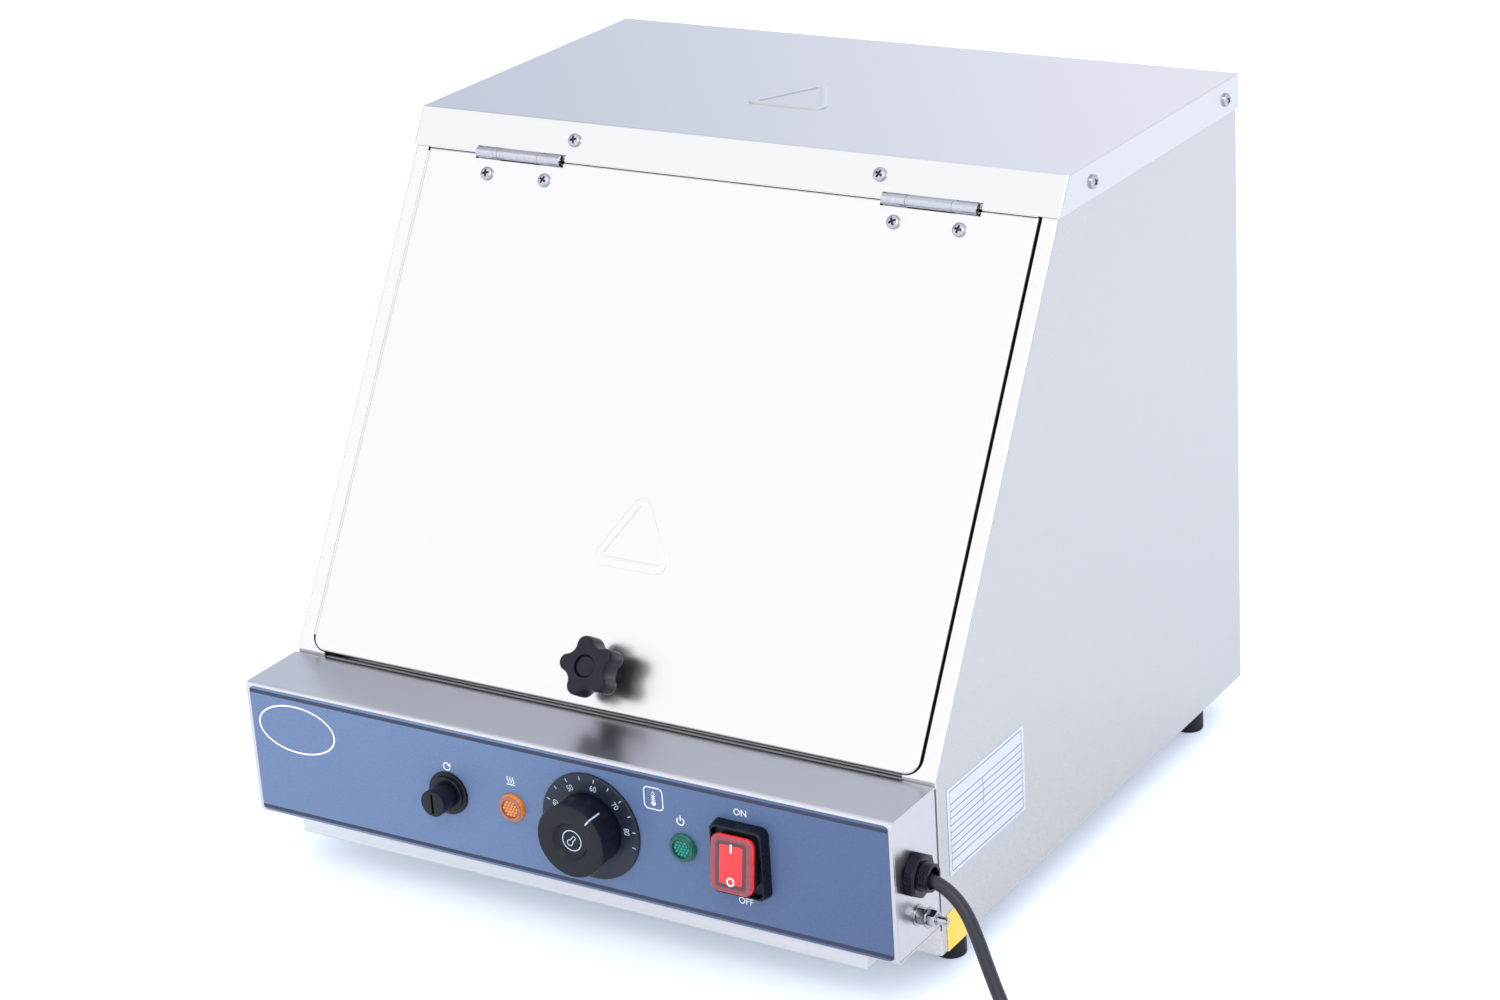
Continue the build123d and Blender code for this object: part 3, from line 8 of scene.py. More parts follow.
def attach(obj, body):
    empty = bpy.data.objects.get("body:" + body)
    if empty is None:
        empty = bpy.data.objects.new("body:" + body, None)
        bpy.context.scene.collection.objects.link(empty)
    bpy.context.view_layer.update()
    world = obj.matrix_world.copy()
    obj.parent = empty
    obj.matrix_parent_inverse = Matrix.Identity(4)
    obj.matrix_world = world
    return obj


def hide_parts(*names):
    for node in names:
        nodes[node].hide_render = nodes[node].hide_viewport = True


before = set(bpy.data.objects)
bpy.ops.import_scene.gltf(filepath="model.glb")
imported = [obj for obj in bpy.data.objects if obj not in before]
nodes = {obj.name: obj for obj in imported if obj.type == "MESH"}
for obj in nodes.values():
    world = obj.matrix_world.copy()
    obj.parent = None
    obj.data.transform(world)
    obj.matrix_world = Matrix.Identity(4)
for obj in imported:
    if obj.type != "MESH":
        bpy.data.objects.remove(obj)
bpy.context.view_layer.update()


# ---- side panels and back --------------------------------------------------------------------------------------
# Each side is one brushed stainless sheet folded into a shallow pan, with returns along the front slope, the top and
# the bottom. The back is a flat sheet of the same steel. Faces that turn to the front, such as the return along the
# slope, carry a painted highlight: they are given the paler tone of the door.
class Shade:
    """A socket that takes part in Python arithmetic: each operation adds its Math node."""

    def __init__(self, tree, socket):
        self.tree, self.socket = tree, socket

    def maths(self, operation, first, second):
        return self.tree.node("Math", {"operation": operation}, {0: first, 1: second})

    def __add__(self, other):
        return self.maths("ADD", self, other)

    def __radd__(self, other):
        return self.maths("ADD", other, self)

    def __sub__(self, other):
        return self.maths("SUBTRACT", self, other)

    def __rsub__(self, other):
        return self.maths("SUBTRACT", other, self)

    def __mul__(self, other):
        return self.maths("MULTIPLY", self, other)

    def __rmul__(self, other):
        return self.maths("MULTIPLY", other, self)

    def span(self, low, high):
        """Smooth step that is 0 at low and 1 at high."""
        return self.tree.node("MapRange", {"interpolation_type": "SMOOTHSTEP"}, {0: self, 1: low, 2: high})

    def blend(self, low, high):
        """Colour that goes from low to high as this value goes from 0 to 1."""
        return self.tree.node("Mix", {"data_type": "RGBA"}, {0: self, 6: low, 7: high}, 2)


class Tree:
    """The nodes of one finish, or of the room."""

    def __init__(self, owner):
        owner.use_nodes = True
        self.owner, self.inner = owner, owner.node_tree

    def fill(self, socket, value):
        """Put a link, a number, a vector or an opaque colour on a socket."""
        if isinstance(value, Shade):
            self.inner.links.new(value.socket, socket)
        elif socket.type == "RGBA":
            socket.default_value = (*value, 1.0)
        else:
            socket.default_value = value

    def node(self, kind, settings, sockets, output=0):
        """Any node: its type, its settings, and the values or links of its sockets."""
        made = self.inner.nodes.new("ShaderNode" + kind)
        for name, value in settings.items():
            setattr(made, name, value)
        for name, value in sockets.items():
            self.fill(made.inputs[name], value)
        return Shade(self, made.outputs[output])

    def coordinate(self, index, source="Object"):
        """One coordinate of a point on the piece, or of another source."""
        return self.node("SeparateXYZ", {}, {0: self.node("TexCoord", {}, {}, source)}, index)


class Finish(Tree):
    """The surface of one kind of material."""

    def __init__(self, name):
        super().__init__(bpy.data.materials.new(name))

    def noise(self, scale=1.0, detail=2.0, tightness=(1, 1, 1), roughness=0.5):
        """Cloudy pattern over the piece, drawn tighter along some axes."""
        spot = self.node("Mapping", {}, {"Vector": self.node("TexCoord", {}, {}, "Object"), "Scale": tightness})
        values = {"Vector": spot, "Scale": scale, "Detail": detail, "Roughness": roughness}
        return self.node("TexNoise", {}, values, "Fac")

    def bump(self, height, strength, distance):
        return self.node("Bump", {}, {"Strength": strength, "Distance": distance, "Height": height})

    def done(self, **sockets):
        """Fill the shader's own sockets, and give the material."""
        shader = self.inner.nodes["Principled BSDF"]
        for name, value in sockets.items():
            self.fill(shader.inputs[name.replace("_", " ")], value)
        return self.owner


def toned(colour, factor):
    """A colour made lighter or darker."""
    return tuple(min(1.0, part * factor) for part in colour)


def brushed(name, tone, grain, rough, streak, relief, uneven=0.16, front_highlight=None):
    """Brushed sheet steel; grain sets the brush lines' spacing per axis; front_highlight is a painted highlight tone.
    """
    finish = Finish(name)
    fine = finish.noise(1.0, 3.0, grain, 0.6)
    broad = finish.noise(1.0, 1.0, tuple(part / 9 for part in grain))
    cloud = finish.noise(7.0, 2.0)
    lines = fine * 0.7 + broad * 0.3
    colour = lines.span(0.25, 0.75).blend(toned(tone, 1 - streak), toned(tone, 1 + streak * 0.5))
    # painted highlight: faces turned to the front take the paler front_highlight tone
    if front_highlight:
        colour = finish.coordinate(1, "Normal").span(-0.4, -0.7).blend(colour, front_highlight)
    return finish.done(
        Base_Color=colour, Metallic=1.0, Roughness=rough - (0.65 - lines - cloud * 0.3) * uneven,
        Normal=finish.bump(fine, relief, 0.0002),
    )


def dress(finish, *names):
    """Give a finish to nodes of the construction."""
    for name in names:
        nodes[name].data.materials.clear()
        nodes[name].data.materials.append(finish)
    return finish


UP_AND_DOWN = (4, 1400, 1400)      # brush lines run across the cabinet
# paler tone painted on the front-facing faces of the side panels: a painted highlight
PAINTED_FRONT_HIGHLIGHT = (0.64, 0.642, 0.65)
side_steel = dress(
    brushed("side_steel", (0.515, 0.522, 0.530), UP_AND_DOWN, 0.27, 0.010, 0.003, 0.04, PAINTED_FRONT_HIGHLIGHT),
    "right_side_panel", "left_side_panel", "back_panel",
)


# ---- front sill ------------------------------------------------------------------------------------------------
# A narrow folded strip under the door, between the two sides, spot welded to the returns of the sides. Its steel is
# given a dark tone as painted shade, for the shadowed gap under the door where it shows.
ACROSS = (3, 900, 900)
# painted shade: the sill's dark tone stands for the shadow in the gap under the door
dress(brushed("sill_steel_painted_shade", (0.20, 0.202, 0.205), ACROSS, 0.42, 0.04, 0.02), "front_sill")


# ---- inner steelwork -------------------------------------------------------------------------------------------
# The chamber liner, its perforated deck, the base, the rail over the door, the element's supports and the tray's
# runners are thin stainless sheet with a coarse brush. The inner door skin and the two instrument cans match them.
dress(
    brushed("inner_steel", (0.56, 0.565, 0.575), (3, 500, 500), 0.34, 0.08, 0.04),
    "base_plate", "upper_front_rail", "chamber_liner", "perforated_deck", "element_supports", "tray_runners",
    "door_inner_skin", "thermostat_body", "thermal_cutout",
)


# ---- insulation ------------------------------------------------------------------------------------------------
# Slabs of yellowish mineral wool fill the space between the liner and the outer skins, and the inside of the door.
# They are cut to size and held by the sheets round them.
wool = Finish("mineral_wool")
fibres = wool.noise(300.0, 6.0, (1, 1, 4), 0.7)
dress(
    wool.done(
        Base_Color=fibres.span(0.3, 0.7).blend((0.50, 0.42, 0.22), (0.80, 0.72, 0.48)), Roughness=0.95,
        Normal=wool.bump(fibres, 0.8, 0.002),
    ),
    "insulation_slabs", "door_insulation",
)


# ---- heating element -------------------------------------------------------------------------------------------
# One bent rod under the deck: a nickel-steel sheath round a coiled wire in packed magnesia. The sheath has gone dark
# from its first heating.
def polished(name, tone, rough):
    """Bright metal with faint handling marks."""
    finish = Finish(name)
    marks = finish.noise(420.0, 4.0)
    return finish.done(
        Base_Color=marks.span(0.3, 0.7).blend(toned(tone, 0.9), tone), Metallic=1.0, Roughness=marks * 0.10 + rough
    )


dress(polished("element_sheath", (0.24, 0.245, 0.24), 0.40), "heating_element")


# ---- top cover -------------------------------------------------------------------------------------------------
# A cap of brushed stainless sheet whose skirt comes down over the sides and the back, and whose front edge turns down
# the slope. A bare triangle is pressed up out of the sheet with a rounded tool.
BENCH = Matrix.Translation((-0.008, -0.1509, 0.0)) @ Matrix.Scale(0.001, 4)     # millimetres as built


def axes(origin, x_axis, z_axis):
    """Matrix of a local frame."""
    x_axis, z_axis = Vector(x_axis).normalized(), Vector(z_axis).normalized()
    turned = Matrix((x_axis, z_axis.cross(x_axis), z_axis)).transposed().to_4x4()
    turned.translation = origin
    return turned


def skin(build, rings):
    """Faces between closed rings of points that follow one another."""
    for lower, upper in zip(rings, rings[1:]):
        for side, corner in enumerate(lower):
            other = (side + 1) % len(lower)
            build.faces.new((corner, lower[other], upper[other], upper[side]))


def finish_piece(name, build, seat, finish, body, replaces=(), angle=32.0):
    """Turn what was built, in millimetres of its seat, into a piece that rides on a body."""
    bmesh.ops.remove_doubles(build, verts=build.verts, dist=0.0005)
    bmesh.ops.recalc_face_normals(build, faces=build.faces)
    mesh = bpy.data.meshes.new(name)
    build.to_mesh(mesh)
    build.free()
    mesh.transform(seat)
    mesh.shade_smooth()
    mesh.set_sharp_from_angle(angle=math.radians(angle))
    mesh.materials.append(finish)
    piece = bpy.data.objects.new(name, mesh)
    bpy.context.scene.collection.objects.link(piece)
    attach(piece, body)
    if replaces:
        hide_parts(*replaces)
    return piece


BEAD = (      # how far in from the triangle's outline, corner radius, height
    (-0.25, 6.25, 0.0), (0.05, 5.95, 0.12), (0.45, 5.55, 0.42), (0.95, 5.05, 0.58), (1.7, 4.3, 0.62),
    (3.2, 2.8, 0.62), (3.95, 2.05, 0.58), (4.45, 1.55, 0.42), (4.85, 1.15, 0.12), (5.15, 0.85, 0.0),
)


def pressed_triangle(name, corners, sheet, seat, finish, body):
    """Rounded bead pressed out of the sheet along a bare triangle."""
    corners = [Vector(corner) for corner in corners]
    middle = sum(corners, Vector((0, 0))) / 3

    def away(edge, corner):
        square = Vector((edge.y, -edge.x))
        return square if square.dot(corner - middle) > 0 else -square

    build = bmesh.new()
    rings = []
    for inset, radius, height in BEAD:
        ring = []
        for index, corner in enumerate(corners):
            before = (corners[index - 1] - corner).normalized()
            after = (corners[(index + 1) % 3] - corner).normalized()
            half = before.angle(after) / 2
            centre = corner + (before + after).normalized() * ((radius + inset) / math.sin(half))
            first, last = away(before, corner), away(after, corner)
            sweep = first.angle_signed(last)
            for step in range(9):
                point = centre + Matrix.Rotation(-sweep * step / 8, 2) @ (first * radius)
                ring.append(build.verts.new((point.x, point.y, sheet + height)))
        rings.append(ring)
    skin(build, rings)
    finish_piece(name, build, seat, finish, body, angle=60.0)


COVER_TOP = 380.7
cover_steel = dress(
    brushed("cover_steel", (0.61, 0.612, 0.62), UP_AND_DOWN, 0.22, 0.010, 0.003, 0.04), "top_cover"
)
pressed_triangle(
    "cover_bead", ((-32.2, 221.8), (23.9, 221.8), (-4.9, 273.3)), COVER_TOP, BENCH, cover_steel, "cabinet"
)


# ---- door ------------------------------------------------------------------------------------------------------
# The outer skin is a brushed stainless tray that lies on the slope, with the same bare triangle pressed out of it.
# Thin turned lips on the cabinet close the line over the door, between the hinges, and the line along its left edge.
KNEE = 116.5                       # height at which the slope starts
SLOPE = math.radians(31.3)         # lean of the door from upright
ON_SLOPE = axes((0, 0, KNEE), (1, 0, 0), (0, -math.cos(SLOPE), math.sin(SLOPE)))
DOOR = BENCH @ ON_SLOPE            # across, up the slope, outward
DOOR_FACE = 1.2
LIP_LOW, LIP_HIGH = 285.36, 285.84     # the line over the door, up the slope
LIP_SPANS = ((-188.0, -156.6), (-98.0, 98.0), (156.6, 188.0))


def plate(build, outline, low, high):
    """Flat plate with the given outline."""
    lower = [build.verts.new((x, y, low)) for x, y in outline]
    upper = [build.verts.new((x, y, high)) for x, y in outline]
    build.faces.new(lower)
    build.faces.new(upper)
    skin(build, (lower, upper))


def strip(build, left, right, bottom, top, low, high):
    """Plate with square corners."""
    plate(build, ((left, bottom), (right, bottom), (right, top), (left, top)), low, high)


door_steel = dress(
    brushed("door_steel", (0.64, 0.642, 0.65), (1400, 4, 4), 0.26, 0.006, 0.002, 0.03), "door_outer_skin"
)
pressed_triangle("door_bead", ((-27.7, 75.1), (26.3, 75.1), (-1.3, 119.1)), DOOR_FACE, DOOR, door_steel, "door")
lips = bmesh.new()
for left, right in LIP_SPANS:
    strip(lips, left, right, LIP_LOW, LIP_HIGH, 0.3, 1.14)
strip(lips, -189.85, -188.5, 9.0, 283.5, -0.95, -0.2)
finish_piece("door_line_lips", lips, DOOR, side_steel, "cabinet")


# ---- hinges ----------------------------------------------------------------------------------------------------
# Two small butt hinges of tumbled stainless: rolled knuckles round a pin, one leaf behind the door's skin and one
# behind the cover's front edge.
dress(polished("satin_steel", (0.50, 0.51, 0.55), 0.17), "hinge_door_leaves", "hinge_frame_leaves", "hinge_pins")


# ---- screws ----------------------------------------------------------------------------------------------------
# M4 pan-head screws of bright stainless with a tapered cross recess, pressed cold and rolled. They hold the hinges to
# the door, the cover to the slope, the sides and the back, and, unseen, the feet, the box and the door knob.
HEAD_RADIUS = 3.75
HEAD_STEPS = [0.02, *(0.125 * step for step in range(1, 20)), 2.7, 3.0, 3.25, 3.45, 3.6, 3.7, HEAD_RADIUS]
HEAD_SIDES = 56
HALF_ARM, ARM_REACH, ARM_DEPTH, ARM_TAPER = 0.62, 2.15, 1.1, 0.35
SHANK_RADIUS, SHANK = 2.0, 5.8

bright_steel = dress(
    polished("bright_steel", (0.44, 0.45, 0.49), 0.10),
    "cover_screws", "door_screws", "foot_screws", "star_knob_screw", "box_screws",
)
recess_shade = polished("recess_shade", (0.10, 0.10, 0.12), 0.30)


def at(x, y, z=0.0):
    return Matrix.Translation((x, y, z))


def cross_screws(name, node, seats, body):
    """Screws on their seats, joined in one piece; each stands turned a little further than the last."""
    build = bmesh.new()
    depth = {}
    for index, seat in enumerate(seats):
        turn = 0.25 + index * 0.9

        def ring(radius, height_at):
            points = []
            for side in range(HEAD_SIDES):
                angle = 2 * math.pi * side / HEAD_SIDES
                height, inside = height_at(radius, angle)
                flat = (radius * math.cos(angle), radius * math.sin(angle))
                points.append(build.verts.new(seat @ Vector((*flat, height))))
                depth[points[-1]] = inside
            return points

        def dome(radius, angle):
            x, y = abs(radius * math.cos(angle - turn)), abs(radius * math.sin(angle - turn))
            inside = max(min(HALF_ARM - x, ARM_REACH - y), min(HALF_ARM - y, ARM_REACH - x))
            height = 0.8 + 1.45 * max(0.0, 1 - (radius / HEAD_RADIUS) ** 2.6) ** 0.5
            return height - ARM_DEPTH * min(1.0, max(0.0, inside / ARM_TAPER)), inside

        rings = [ring(radius, dome) for radius in HEAD_STEPS]
        for radius, height in ((HEAD_RADIUS, 0.0), (SHANK_RADIUS, 0.0), (SHANK_RADIUS, -SHANK), (0.02, -SHANK)):
            rings.append(ring(radius, lambda r, a: (height, -1.0)))
        skin(build, rings)
        build.faces.new(rings[0])
        build.faces.new(rings[-1])
    for face in build.faces:
        face.material_index = int(sum(depth[corner] for corner in face.verts) / len(face.verts) > 0.03)
    piece = finish_piece(name, build, BENCH, bright_steel, body, (node,))
    piece.data.materials.append(recess_shade)


COVER_SIDE, COVER_BACK, SKIRT_UP = 200.0, 364.4, 370.0
FRONT_SCREW_X, FRONT_SCREW_UP = 94.6, 297.98
SIDE_SCREW_YS, BACK_SCREW_X = (184.5, 346.4), 150.0
HINGE_X, HINGE_SCREW, HINGE_SCREW_UP = 127.3, 19.0, 274.18

cover_seats = [ON_SLOPE @ at(x, FRONT_SCREW_UP, DOOR_FACE) for x in (-FRONT_SCREW_X, FRONT_SCREW_X)]
for y in SIDE_SCREW_YS:
    cover_seats.append(axes((COVER_SIDE, y, SKIRT_UP), (0, 1, 0), (1, 0, 0)))
    cover_seats.append(axes((-COVER_SIDE, y, SKIRT_UP), (0, -1, 0), (-1, 0, 0)))
for x in (-BACK_SCREW_X, BACK_SCREW_X):
    cover_seats.append(axes((x, COVER_BACK, SKIRT_UP), (-1, 0, 0), (0, 1, 0)))
cross_screws("cover_screw_heads", "cover_screws", cover_seats, "cabinet")
hinge_seats = [
    ON_SLOPE @ at(x + step, HINGE_SCREW_UP, DOOR_FACE)
    for x in (-HINGE_X, HINGE_X) for step in (-HINGE_SCREW, HINGE_SCREW)
]
cross_screws("door_screw_heads", "door_screws", hinge_seats, "door")


# ---- door knob -------------------------------------------------------------------------------------------------
# A five-lobed hand knob moulded in satin black plastic on a round stem. A plug closes the hole in its face, over the
# screw that comes through the door from inside.
def plastic(name, tone, rough=0.4, grain=900.0, relief=0.15, coat=0.0, spread=0.35, shine=0.5):
    """Moulded plastic with a fine spark-eroded grain."""
    finish = Finish(name)
    texture = finish.noise(grain, 3.0)
    cloud = finish.noise(40.0, 2.0)
    return finish.done(
        Base_Color=(texture * 0.6 + cloud * 0.4).span(0.3, 0.75).blend(tone, toned(tone, 1.1 + spread)),
        Roughness=texture * 0.12 + (rough - 0.06), Coat_Weight=coat, Specular_IOR_Level=shine,
        Normal=finish.bump(texture, relief, 0.00012),
    )


def lathe(profile, sides=72, point=None, build=None):
    """Body of revolution; point(entry, angle) may turn an entry of the profile into a radius and a height."""
    build = build or bmesh.new()
    rings = []
    for entry in profile:
        ring = []
        for side in range(sides):
            angle = 2 * math.pi * side / sides
            radius, height = point(entry, angle) if point else entry
            ring.append(build.verts.new((radius * math.cos(angle), radius * math.sin(angle), height)))
        rings.append(ring)
    skin(build, rings)
    return build


KNOB_UP = 20.7                     # up the slope
TIP, TIP_OUT = 4.6, 11.8           # radius of a lobe's tip, and how far out its centre lies
HOLLOW, HOLLOW_OUT = 7.0, 18.82    # the same for the hollows between the lobes
LOBE_STEP = 2 * math.pi / 5
FIRST_LOBE = math.radians(106.0)
STAR_PROFILE = (      # share of the lobed outline, millimetres on top of it, height
    (0, 0.0, 11.0), (0, 2.6, 11.0), (0, 2.6, 1.2), (0, 7.0, 1.2), (0, 7.0, 9.2), (0, 7.4, 9.4),
    (1, -1.0, 9.45), (1, -0.35, 9.75), (1, -0.1, 10.4), (1, 0.0, 12.5), (1, -0.05, 18.0), (1, -0.2, 21.2),
    (1, -0.55, 22.2), (1, -1.1, 22.9), (1, -1.8, 23.25), (1, -2.8, 23.35), (0.5, 1.85, 23.4),
    (0, 6.5, 23.4), (0, 6.15, 23.3), (0, 6.0, 23.0), (0, 6.0, 21.3), (0, 5.55, 21.3), (0, 5.5, 21.9),
    (0, 5.3, 22.2), (0, 4.9, 22.35), (0, 0.0, 22.35),
)


def star_point(entry, angle):
    """Lobes of small radius joined by wide hollows."""
    share, more, height = entry
    from_tip = abs((angle - FIRST_LOBE + LOBE_STEP / 2) % LOBE_STEP - LOBE_STEP / 2)
    from_hollow = LOBE_STEP / 2 - from_tip
    part = HOLLOW / (TIP + HOLLOW)
    join = math.atan2(
        TIP_OUT * math.sin(LOBE_STEP / 2) * part,
        HOLLOW_OUT + (TIP_OUT * math.cos(LOBE_STEP / 2) - HOLLOW_OUT) * part,
    )
    if from_hollow > join:
        outline = TIP_OUT * math.cos(from_tip) + math.sqrt(TIP ** 2 - (TIP_OUT * math.sin(from_tip)) ** 2)
    else:
        sag = math.sqrt(HOLLOW ** 2 - (HOLLOW_OUT * math.sin(from_hollow)) ** 2)
        outline = HOLLOW_OUT * math.cos(from_hollow) - sag
    return share * outline + more, height


satin_black = dress(plastic("black_satin_plastic", (0.004, 0.0055, 0.012), 0.36, 1100.0, shine=0.26), "star_knob")
finish_piece("door_knob", lathe(STAR_PROFILE, 200, star_point), DOOR @ at(0, KNOB_UP), satin_black, "door",
             ("star_knob",), 38.0)


# ---- control box -----------------------------------------------------------------------------------------------
# A brushed stainless sheet folded round the front of the box, closed by a cheek at each end that is screwed on. A
# thin dark strip stands where the right end meets the side panel: painted shade for the shadowed joint.
END = BENCH @ axes((199.0, 0, 0), (0, 1, 0), (1, 0, 0))      # back, up, outward from the box's right end

dress(
    brushed("box_steel", (0.575, 0.58, 0.60), (3, 1200, 1200), 0.29, 0.04, 0.010, 0.06),
    "control_box_wrap", "control_box_left_end", "control_box_right_end",
)
# painted shade: a dark strip on the box's right end where the joint lies in shadow
joint = bmesh.new()
strip(joint, -1.9, -0.35, 35.0, 113.6, -0.1, 0.06)
finish_piece("box_joint_painted_shade", joint, END, recess_shade, "cabinet")


# ---- control film ----------------------------------------------------------------------------------------------
# A sheet of speckled blue polyester film with an adhesive back covers the front of the box. Two dark stripes, a bare
# oval and the signs of the controls are screen printed on it.
BOX_FRONT, CONTROLS_UP = -44.6, 76.25
PANEL = BENCH @ axes((0, BOX_FRONT, CONTROLS_UP), (1, 0, 0), (0, -1, 0))      # across, up, out from the box front
FILM = 0.3
INK = (FILM, FILM + 0.04)
RESET_X, HEAT_X, THERMOSTAT_X, POWER_X, SWITCH_X = -67.5, -26.8, 22.4, 78.1, 113.0
SIGN_UP = 14.4
STRIPE_ENDS, STRIPE_UPS, HALF_STRIPE = 196.7, (34.45, -34.75), 1.1


def ribbon(build, points, width, low, high, closed=False):
    """Printed line of even width along a path."""
    path = [Vector(point) for point in points]
    count = len(path)
    rings = []
    for index, point in enumerate(path):
        before = path[index - 1] if closed or index else point
        after = path[(index + 1) % count] if closed or index < count - 1 else point
        along = (after - before).normalized()
        side = Vector((-along.y, along.x)) * width / 2
        left, right = point + side, point - side
        corners = ((left, low), (right, low), (right, high), (left, high))
        rings.append([build.verts.new((*corner, height)) for corner, height in corners])
    if not closed:
        build.faces.new(rings[0])
        build.faces.new(rings[-1])
    skin(build, rings + rings[:1] if closed else rings)


def arc(cx, cy, radius, first, last, count=40, stretch=1.0):
    """Points along an arc, degrees."""
    angles = [math.radians(first + (last - first) * step / count) for step in range(count + 1)]
    return [(cx + radius * stretch * math.cos(angle), cy + radius * math.sin(angle)) for angle in angles]


def print_ink(name, tone):
    """Screen-print ink."""
    finish = Finish(name)
    speck = finish.noise(3000.0, 2.0)
    return finish.done(Base_Color=speck.span(0.2, 0.9).blend(toned(tone, 0.93), tone), Roughness=0.45)


def lettering(name, text, size, seat, finish, narrow):
    """Printed characters; the seat's origin is their middle."""
    curve = bpy.data.curves.new(name, "FONT")
    curve.body = text
    curve.size = size
    curve.align_x = "CENTER"
    curve.align_y = "CENTER"
    curve.extrude = 0.02
    piece = bpy.data.objects.new(name, curve)
    piece.matrix_world = seat @ Matrix.Diagonal((narrow, 1, 1, 1))
    curve.materials.append(finish)
    bpy.context.scene.collection.objects.link(piece)
    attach(piece, "cabinet")


film = Finish("film")
speck = film.noise(2600.0, 2.0, (1, 1, 1), 0.7)
# painted shade: the film's ground and flecks are made darker towards its right end
film_painted_shade = film.coordinate(0).span(-0.10, 0.17)
ground = film_painted_shade.blend((0.090, 0.155, 0.293), (0.048, 0.091, 0.203))
fleck = film_painted_shade.blend((0.129, 0.207, 0.366), (0.076, 0.130, 0.266))
dress(
    film.done(
        Base_Color=(speck * 0.75 + film.noise(900.0, 2.0) * 0.25).span(0.35, 0.7).blend(ground, fleck),
        Roughness=speck * 0.15 + 0.33, Normal=film.bump(speck, 0.2, 0.0001),
    ),
    "panel_overlay",
)
white_ink = print_ink("white_ink", (0.86, 0.88, 0.92))

stripes = bmesh.new()
for up in STRIPE_UPS:
    strip(stripes, -STRIPE_ENDS, STRIPE_ENDS, up - HALF_STRIPE, up + HALF_STRIPE, *INK)
finish_piece("panel_stripes", stripes, PANEL, print_ink("navy_ink", (0.020, 0.026, 0.062)), "cabinet")

signs = bmesh.new()
# bare oval at the left
ribbon(signs, arc(-166.8, 16.2, 13.6, 0, 357, 119, 1.86), 0.95, *INK, closed=True)
# reset: arrow that runs round
ribbon(signs, arc(RESET_X, SIGN_UP + 0.6, 2.1, 60, 350, 30), 0.6, *INK)
arrow = ((0.2, 1.5), (2.3, 2.9), (2.5, 0.6))
plate(signs, [(RESET_X + x, SIGN_UP + y) for x, y in arrow], *INK)
# heating: three waves over a bar
for step in (-1, 0, 1):
    wave_x = HEAT_X + 1.7 * step
    wave = [(wave_x + 0.45 * math.sin(t * math.pi / 6), SIGN_UP - 0.6 + 0.3 * t) for t in range(13)]
    ribbon(signs, wave, 0.5, *INK)
ribbon(signs, ((HEAT_X - 2.6, SIGN_UP - 1.5), (HEAT_X + 2.6, SIGN_UP - 1.5)), 0.55, *INK)
# power: broken ring with a bar
ribbon(signs, arc(POWER_X - 1.0, SIGN_UP - 0.2, 2.1, 125, 415, 30), 0.6, *INK)
ribbon(signs, ((POWER_X - 1.0, SIGN_UP + 0.2), (POWER_X - 1.0, SIGN_UP + 3.0)), 0.6, *INK)
# thermometer in a rounded square
mid_x, mid_y = 61.7, 23.7
square = []
for way_x, way_y, first in ((1, 1, 0), (-1, 1, 90), (-1, -1, 180), (1, -1, 270)):
    square += arc(mid_x + way_x * 3.2, mid_y + way_y * 3.7, 2.3, first, first + 90, 8)
ribbon(signs, square, 0.55, *INK, closed=True)
plate(signs, arc(mid_x, mid_y - 2.7, 1.35, 0, 345, 23), *INK)
ribbon(signs, ((mid_x, mid_y - 2.0), (mid_x, mid_y + 1.9)), 0.8, *INK)
for side in (-1, 1):
    for up in (-0.8, 0.3, 1.4):
        ribbon(signs, ((mid_x + side * 0.6, mid_y + up), (mid_x + side * 1.25, mid_y + up)), 0.34, *INK)
ribbon(signs, ((mid_x - 0.95, mid_y + 2.3), (mid_x, mid_y + 3.9), (mid_x + 0.95, mid_y + 2.3)), 0.42, *INK)
finish_piece("panel_marks", signs, PANEL, white_ink, "cabinet")

for word, up in (("ON", 26.5), ("OFF", -22.8)):
    seat = PANEL @ at(SWITCH_X, up, FILM + 0.02)
    lettering("panel_word_" + word.lower(), word, 5.2, seat, white_ink, 0.95)


# ---- thermostat ------------------------------------------------------------------------------------------------
# A numbered ring moulded in black plastic is clipped to the panel round the spindle, and a tapered knob with a dished
# face is pushed on the spindle. Ticks, numbers, pointer and the knob's small sign are pad printed in pale grey. The
# spindle and the two sensing bulbs behind are nickel-plated brass and copper.
THERMOSTAT = PANEL @ at(THERMOSTAT_X, 0)
RING_FACE = 2.0
TICKS, TICK_STEP, FIRST_TICK = 11, 18.84, 174.6      # degrees
TICK_FROM, TICK_TO, NUMBER_OUT = 26.0, 28.0, 22.4    # from the spindle
NUMBERS = ((40, 155.8), (50, 118.1), (60, 80.4), (70, 42.7), (80, 5.0))
POINTER_AT = 48.7


def rounded(points, radii, steps=5):
    """Open outline with its inner corners rounded; radii by corner index."""
    outline = []
    for index, point in enumerate(points):
        radius = radii.get(index, 0)
        if not radius:
            outline.append(tuple(point))
            continue
        here = Vector(point)
        before = (Vector(points[index - 1]) - here).normalized()
        after = (Vector(points[index + 1]) - here).normalized()
        half = before.angle(after) / 2
        reach = radius / math.tan(half)
        centre = here + (before + after).normalized() * (radius / math.sin(half))
        first, last = here + before * reach - centre, here + after * reach - centre
        turn = first.angle_signed(last)
        outline += [tuple(centre + Matrix.Rotation(-turn * step / steps, 2) @ first) for step in range(steps + 1)]
    return outline


brass = dress(polished("plated_brass", (0.78, 0.72, 0.58), 0.22), "thermostat_spindle", "sensing_bulbs")
dial_black = dress(plastic("dial_black", (0.009, 0.013, 0.026), 0.42, 1800.0, 0.10, shine=0.35), "thermostat_dial")
dress(satin_black, "thermostat_knob")
dial_ink = print_ink("dial_ink", (0.50, 0.56, 0.68))

